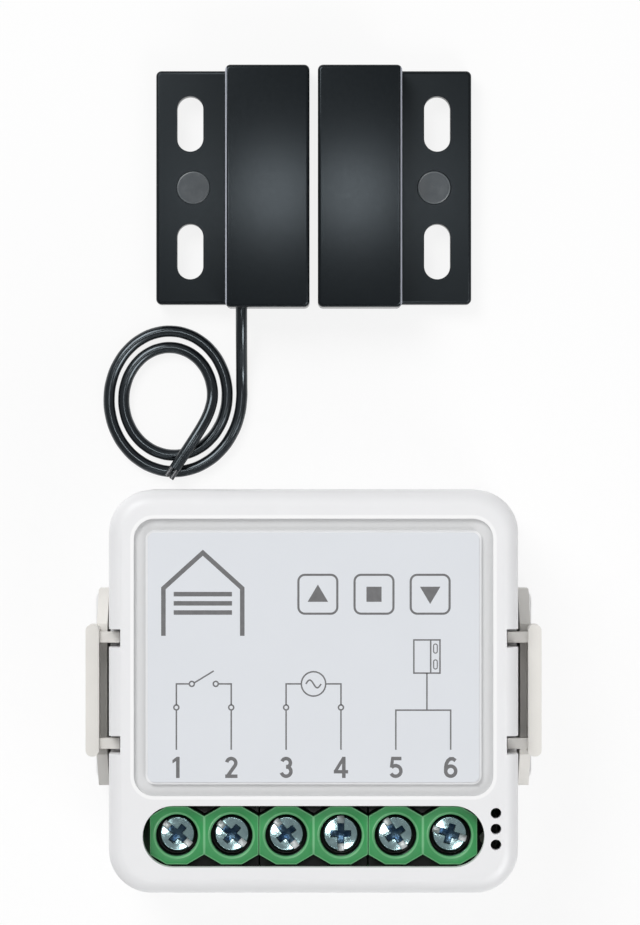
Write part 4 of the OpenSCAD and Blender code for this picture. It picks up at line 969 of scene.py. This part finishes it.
def garage_shapes():
    """Garage front with its door half up."""
    left, right = GARAGE_X
    middle = (left + right) / 2
    wall_left = [(left, GARAGE_FOOT), (left, GARAGE_EAVE)]
    wall_right = [(right, GARAGE_EAVE), (right, GARAGE_FOOT)]
    shapes = band([*wall_left, (middle, GARAGE_RIDGE), *wall_right], GARAGE_LINE)
    for k in range(SLAT_COUNT):
        y = GARAGE_EAVE - SLAT_DROP - SLAT_STEP * k
        shapes.append(box(left + SLAT_INSET, y, right - SLAT_INSET, y + GARAGE_LINE))
    return shapes


def button_shapes():
    """Up, stop and down signs in rounded frames."""
    shapes = []
    y = BUTTON_Y
    for x, way in BUTTONS:
        edge = rounded(x - BUTTON_HALF, y - BUTTON_HALF, x + BUTTON_HALF, y + BUTTON_HALF, BUTTON_R)
        shapes += band(edge, BUTTON_LINE, closed=True)
        if way:
            foot = y - way * ARROW_FOOT
            shapes.append([(x - ARROW_HALF, foot), (x + ARROW_HALF, foot), (x, y + way * ARROW_TIP)])
        else:
            shapes.append(box(x - STOP_HALF, y - STOP_HALF, x + STOP_HALF, y + STOP_HALF))
    return shapes


def print_label():
    ink = ink_paint()
    numbers = [shape for i in POLES for shape in number(i, pole_x(i), NUMBER_Y)]
    for name, shapes in (
        ("print_numbers", numbers),
        ("print_lines", line_shapes()),
        ("print_symbols", switch_shapes() + source_shapes() + reed_shapes()),
        ("print_garage", garage_shapes()),
        ("print_signs", button_shapes()),
    ):
        print_piece(name, shapes, ink)


# Round marks in the flanges of the contact halves, as a line of radius and height
MARK_SIDES = 48
MARK_JOIN = 0.0001
MARK_LINE = [
    (0, 1.95), (1.585, 1.95), (1.585, 2.12), (1.51, 2.19),
    (1.4, 2.195), (0.8, 2.18), (0, 2.17),
]


def make_marks():
    """One turned mark in each flange."""
    paint = mark_paint()
    for name, body, side in (("sensor_mark", "module", -1), ("magnet_mark", "magnet", 1)):
        bm = bmesh.new()
        line = [bm.verts.new((r * MM, 0, z * MM)) for r, z in MARK_LINE]
        edges = [bm.edges.new(pair) for pair in zip(line, line[1:])]
        bmesh.ops.spin(
            bm, geom=[*line, *edges], cent=(0, 0, 0), axis=(0, 0, 1), angle=2 * math.pi, steps=MARK_SIDES,
        )
        bmesh.ops.remove_doubles(bm, verts=bm.verts[:], dist=MARK_JOIN * MM)
        bmesh.ops.recalc_face_normals(bm, faces=bm.faces[:])
        bmesh.ops.translate(bm, vec=(side * MARK_X * MM, CONTACT_MID_Y * MM, 0), verts=bm.verts[:])
        for face in bm.faces:
            face.smooth = True
        mark = mesh_object(name, bm, paint)
        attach(mark, body)


# Stage and light
FLOOR_SIZE = 24000
FLOOR_CELLS = 8
FLOOR_Z = -0.05
FLOOR_GLOW = 0.86
WORLD_LIGHT = 0.34


def floor_paint():
    """White floor that stays white to the camera and in gloss, and keeps the shadow."""
    paint = Paint("floor_white", FLOOR_WHITE, roughness=0.9)
    glow = paint.add("ShaderNodeEmission", Color=(*WHITE, 1))
    path = paint.add("ShaderNodeLightPath").outputs
    seen = paint.math("MAXIMUM", path["Is Camera Ray"], path["Is Glossy Ray"])
    seen = paint.math("MAXIMUM", seen, path["Is Transmission Ray"])
    blend = paint.add("ShaderNodeMixShader")
    paint.link(paint.math("MULTIPLY", seen, FLOOR_GLOW), blend.inputs["Fac"])
    paint.link(paint.shader.outputs[0], blend.inputs[1])
    paint.link(glow.outputs[0], blend.inputs[2])
    paint.link(blend.outputs[0], paint.tree.nodes["Material Output"].inputs["Surface"])
    return paint


def make_floor():
    bm = bmesh.new()
    bmesh.ops.create_grid(bm, x_segments=FLOOR_CELLS, y_segments=FLOOR_CELLS, size=FLOOR_SIZE / 2 * MM)
    bmesh.ops.translate(bm, vec=(0, 0, FLOOR_Z * MM), verts=bm.verts[:])
    floor = mesh_object("floor", bm, floor_paint())


def make_lamp(name, place, target, size, power):
    """Disc lamp that looks at a target; metres and watts."""
    data = bpy.data.lights.new(name, "AREA")
    data.shape = "DISK"
    data.size = size
    data.energy = power
    lamp = bpy.data.objects.new(name, data)
    lamp.location = place
    lamp.rotation_euler = (Vector(target) - Vector(place)).to_track_quat("-Z", "Y").to_euler()
    scene.collection.objects.link(lamp)
    return lamp


def make_light():
    """Even world light, a key and a fill, and two lamps that show in gloss alone."""
    world = bpy.data.worlds.new("studio")
    world.use_nodes = True
    back = world.node_tree.nodes["Background"]
    back.inputs["Color"].default_value = (*WHITE, 1)
    back.inputs["Strength"].default_value = WORLD_LIGHT
    scene.world = world
    make_lamp("key", place=(-0.25, 0.37, 0.5), target=(0, 0.02, 0.01), size=0.35, power=2.5)
    fill = make_lamp("fill", place=(0.26, -0.38, 0.32), target=(0, 0.02, 0.01), size=0.35, power=1.2)
    over = make_lamp("over", place=(0, 0.073, 0.55), target=(0, 0.045, 0), size=0.08, power=0.22)
    side = make_lamp("side", place=(0.28, -0.2, 0.42), target=(0, 0.02, 0), size=0.26, power=1.6)
    fill.visible_glossy = False
    over.visible_diffuse = False
    side.visible_diffuse = False


def write_sizes():
    bpy.context.view_layer.update()


dress_nodes()
print_label()
make_marks()
soften_nodes()
make_floor()
make_light()
scene.view_settings.view_transform = "Standard"
write_sizes()
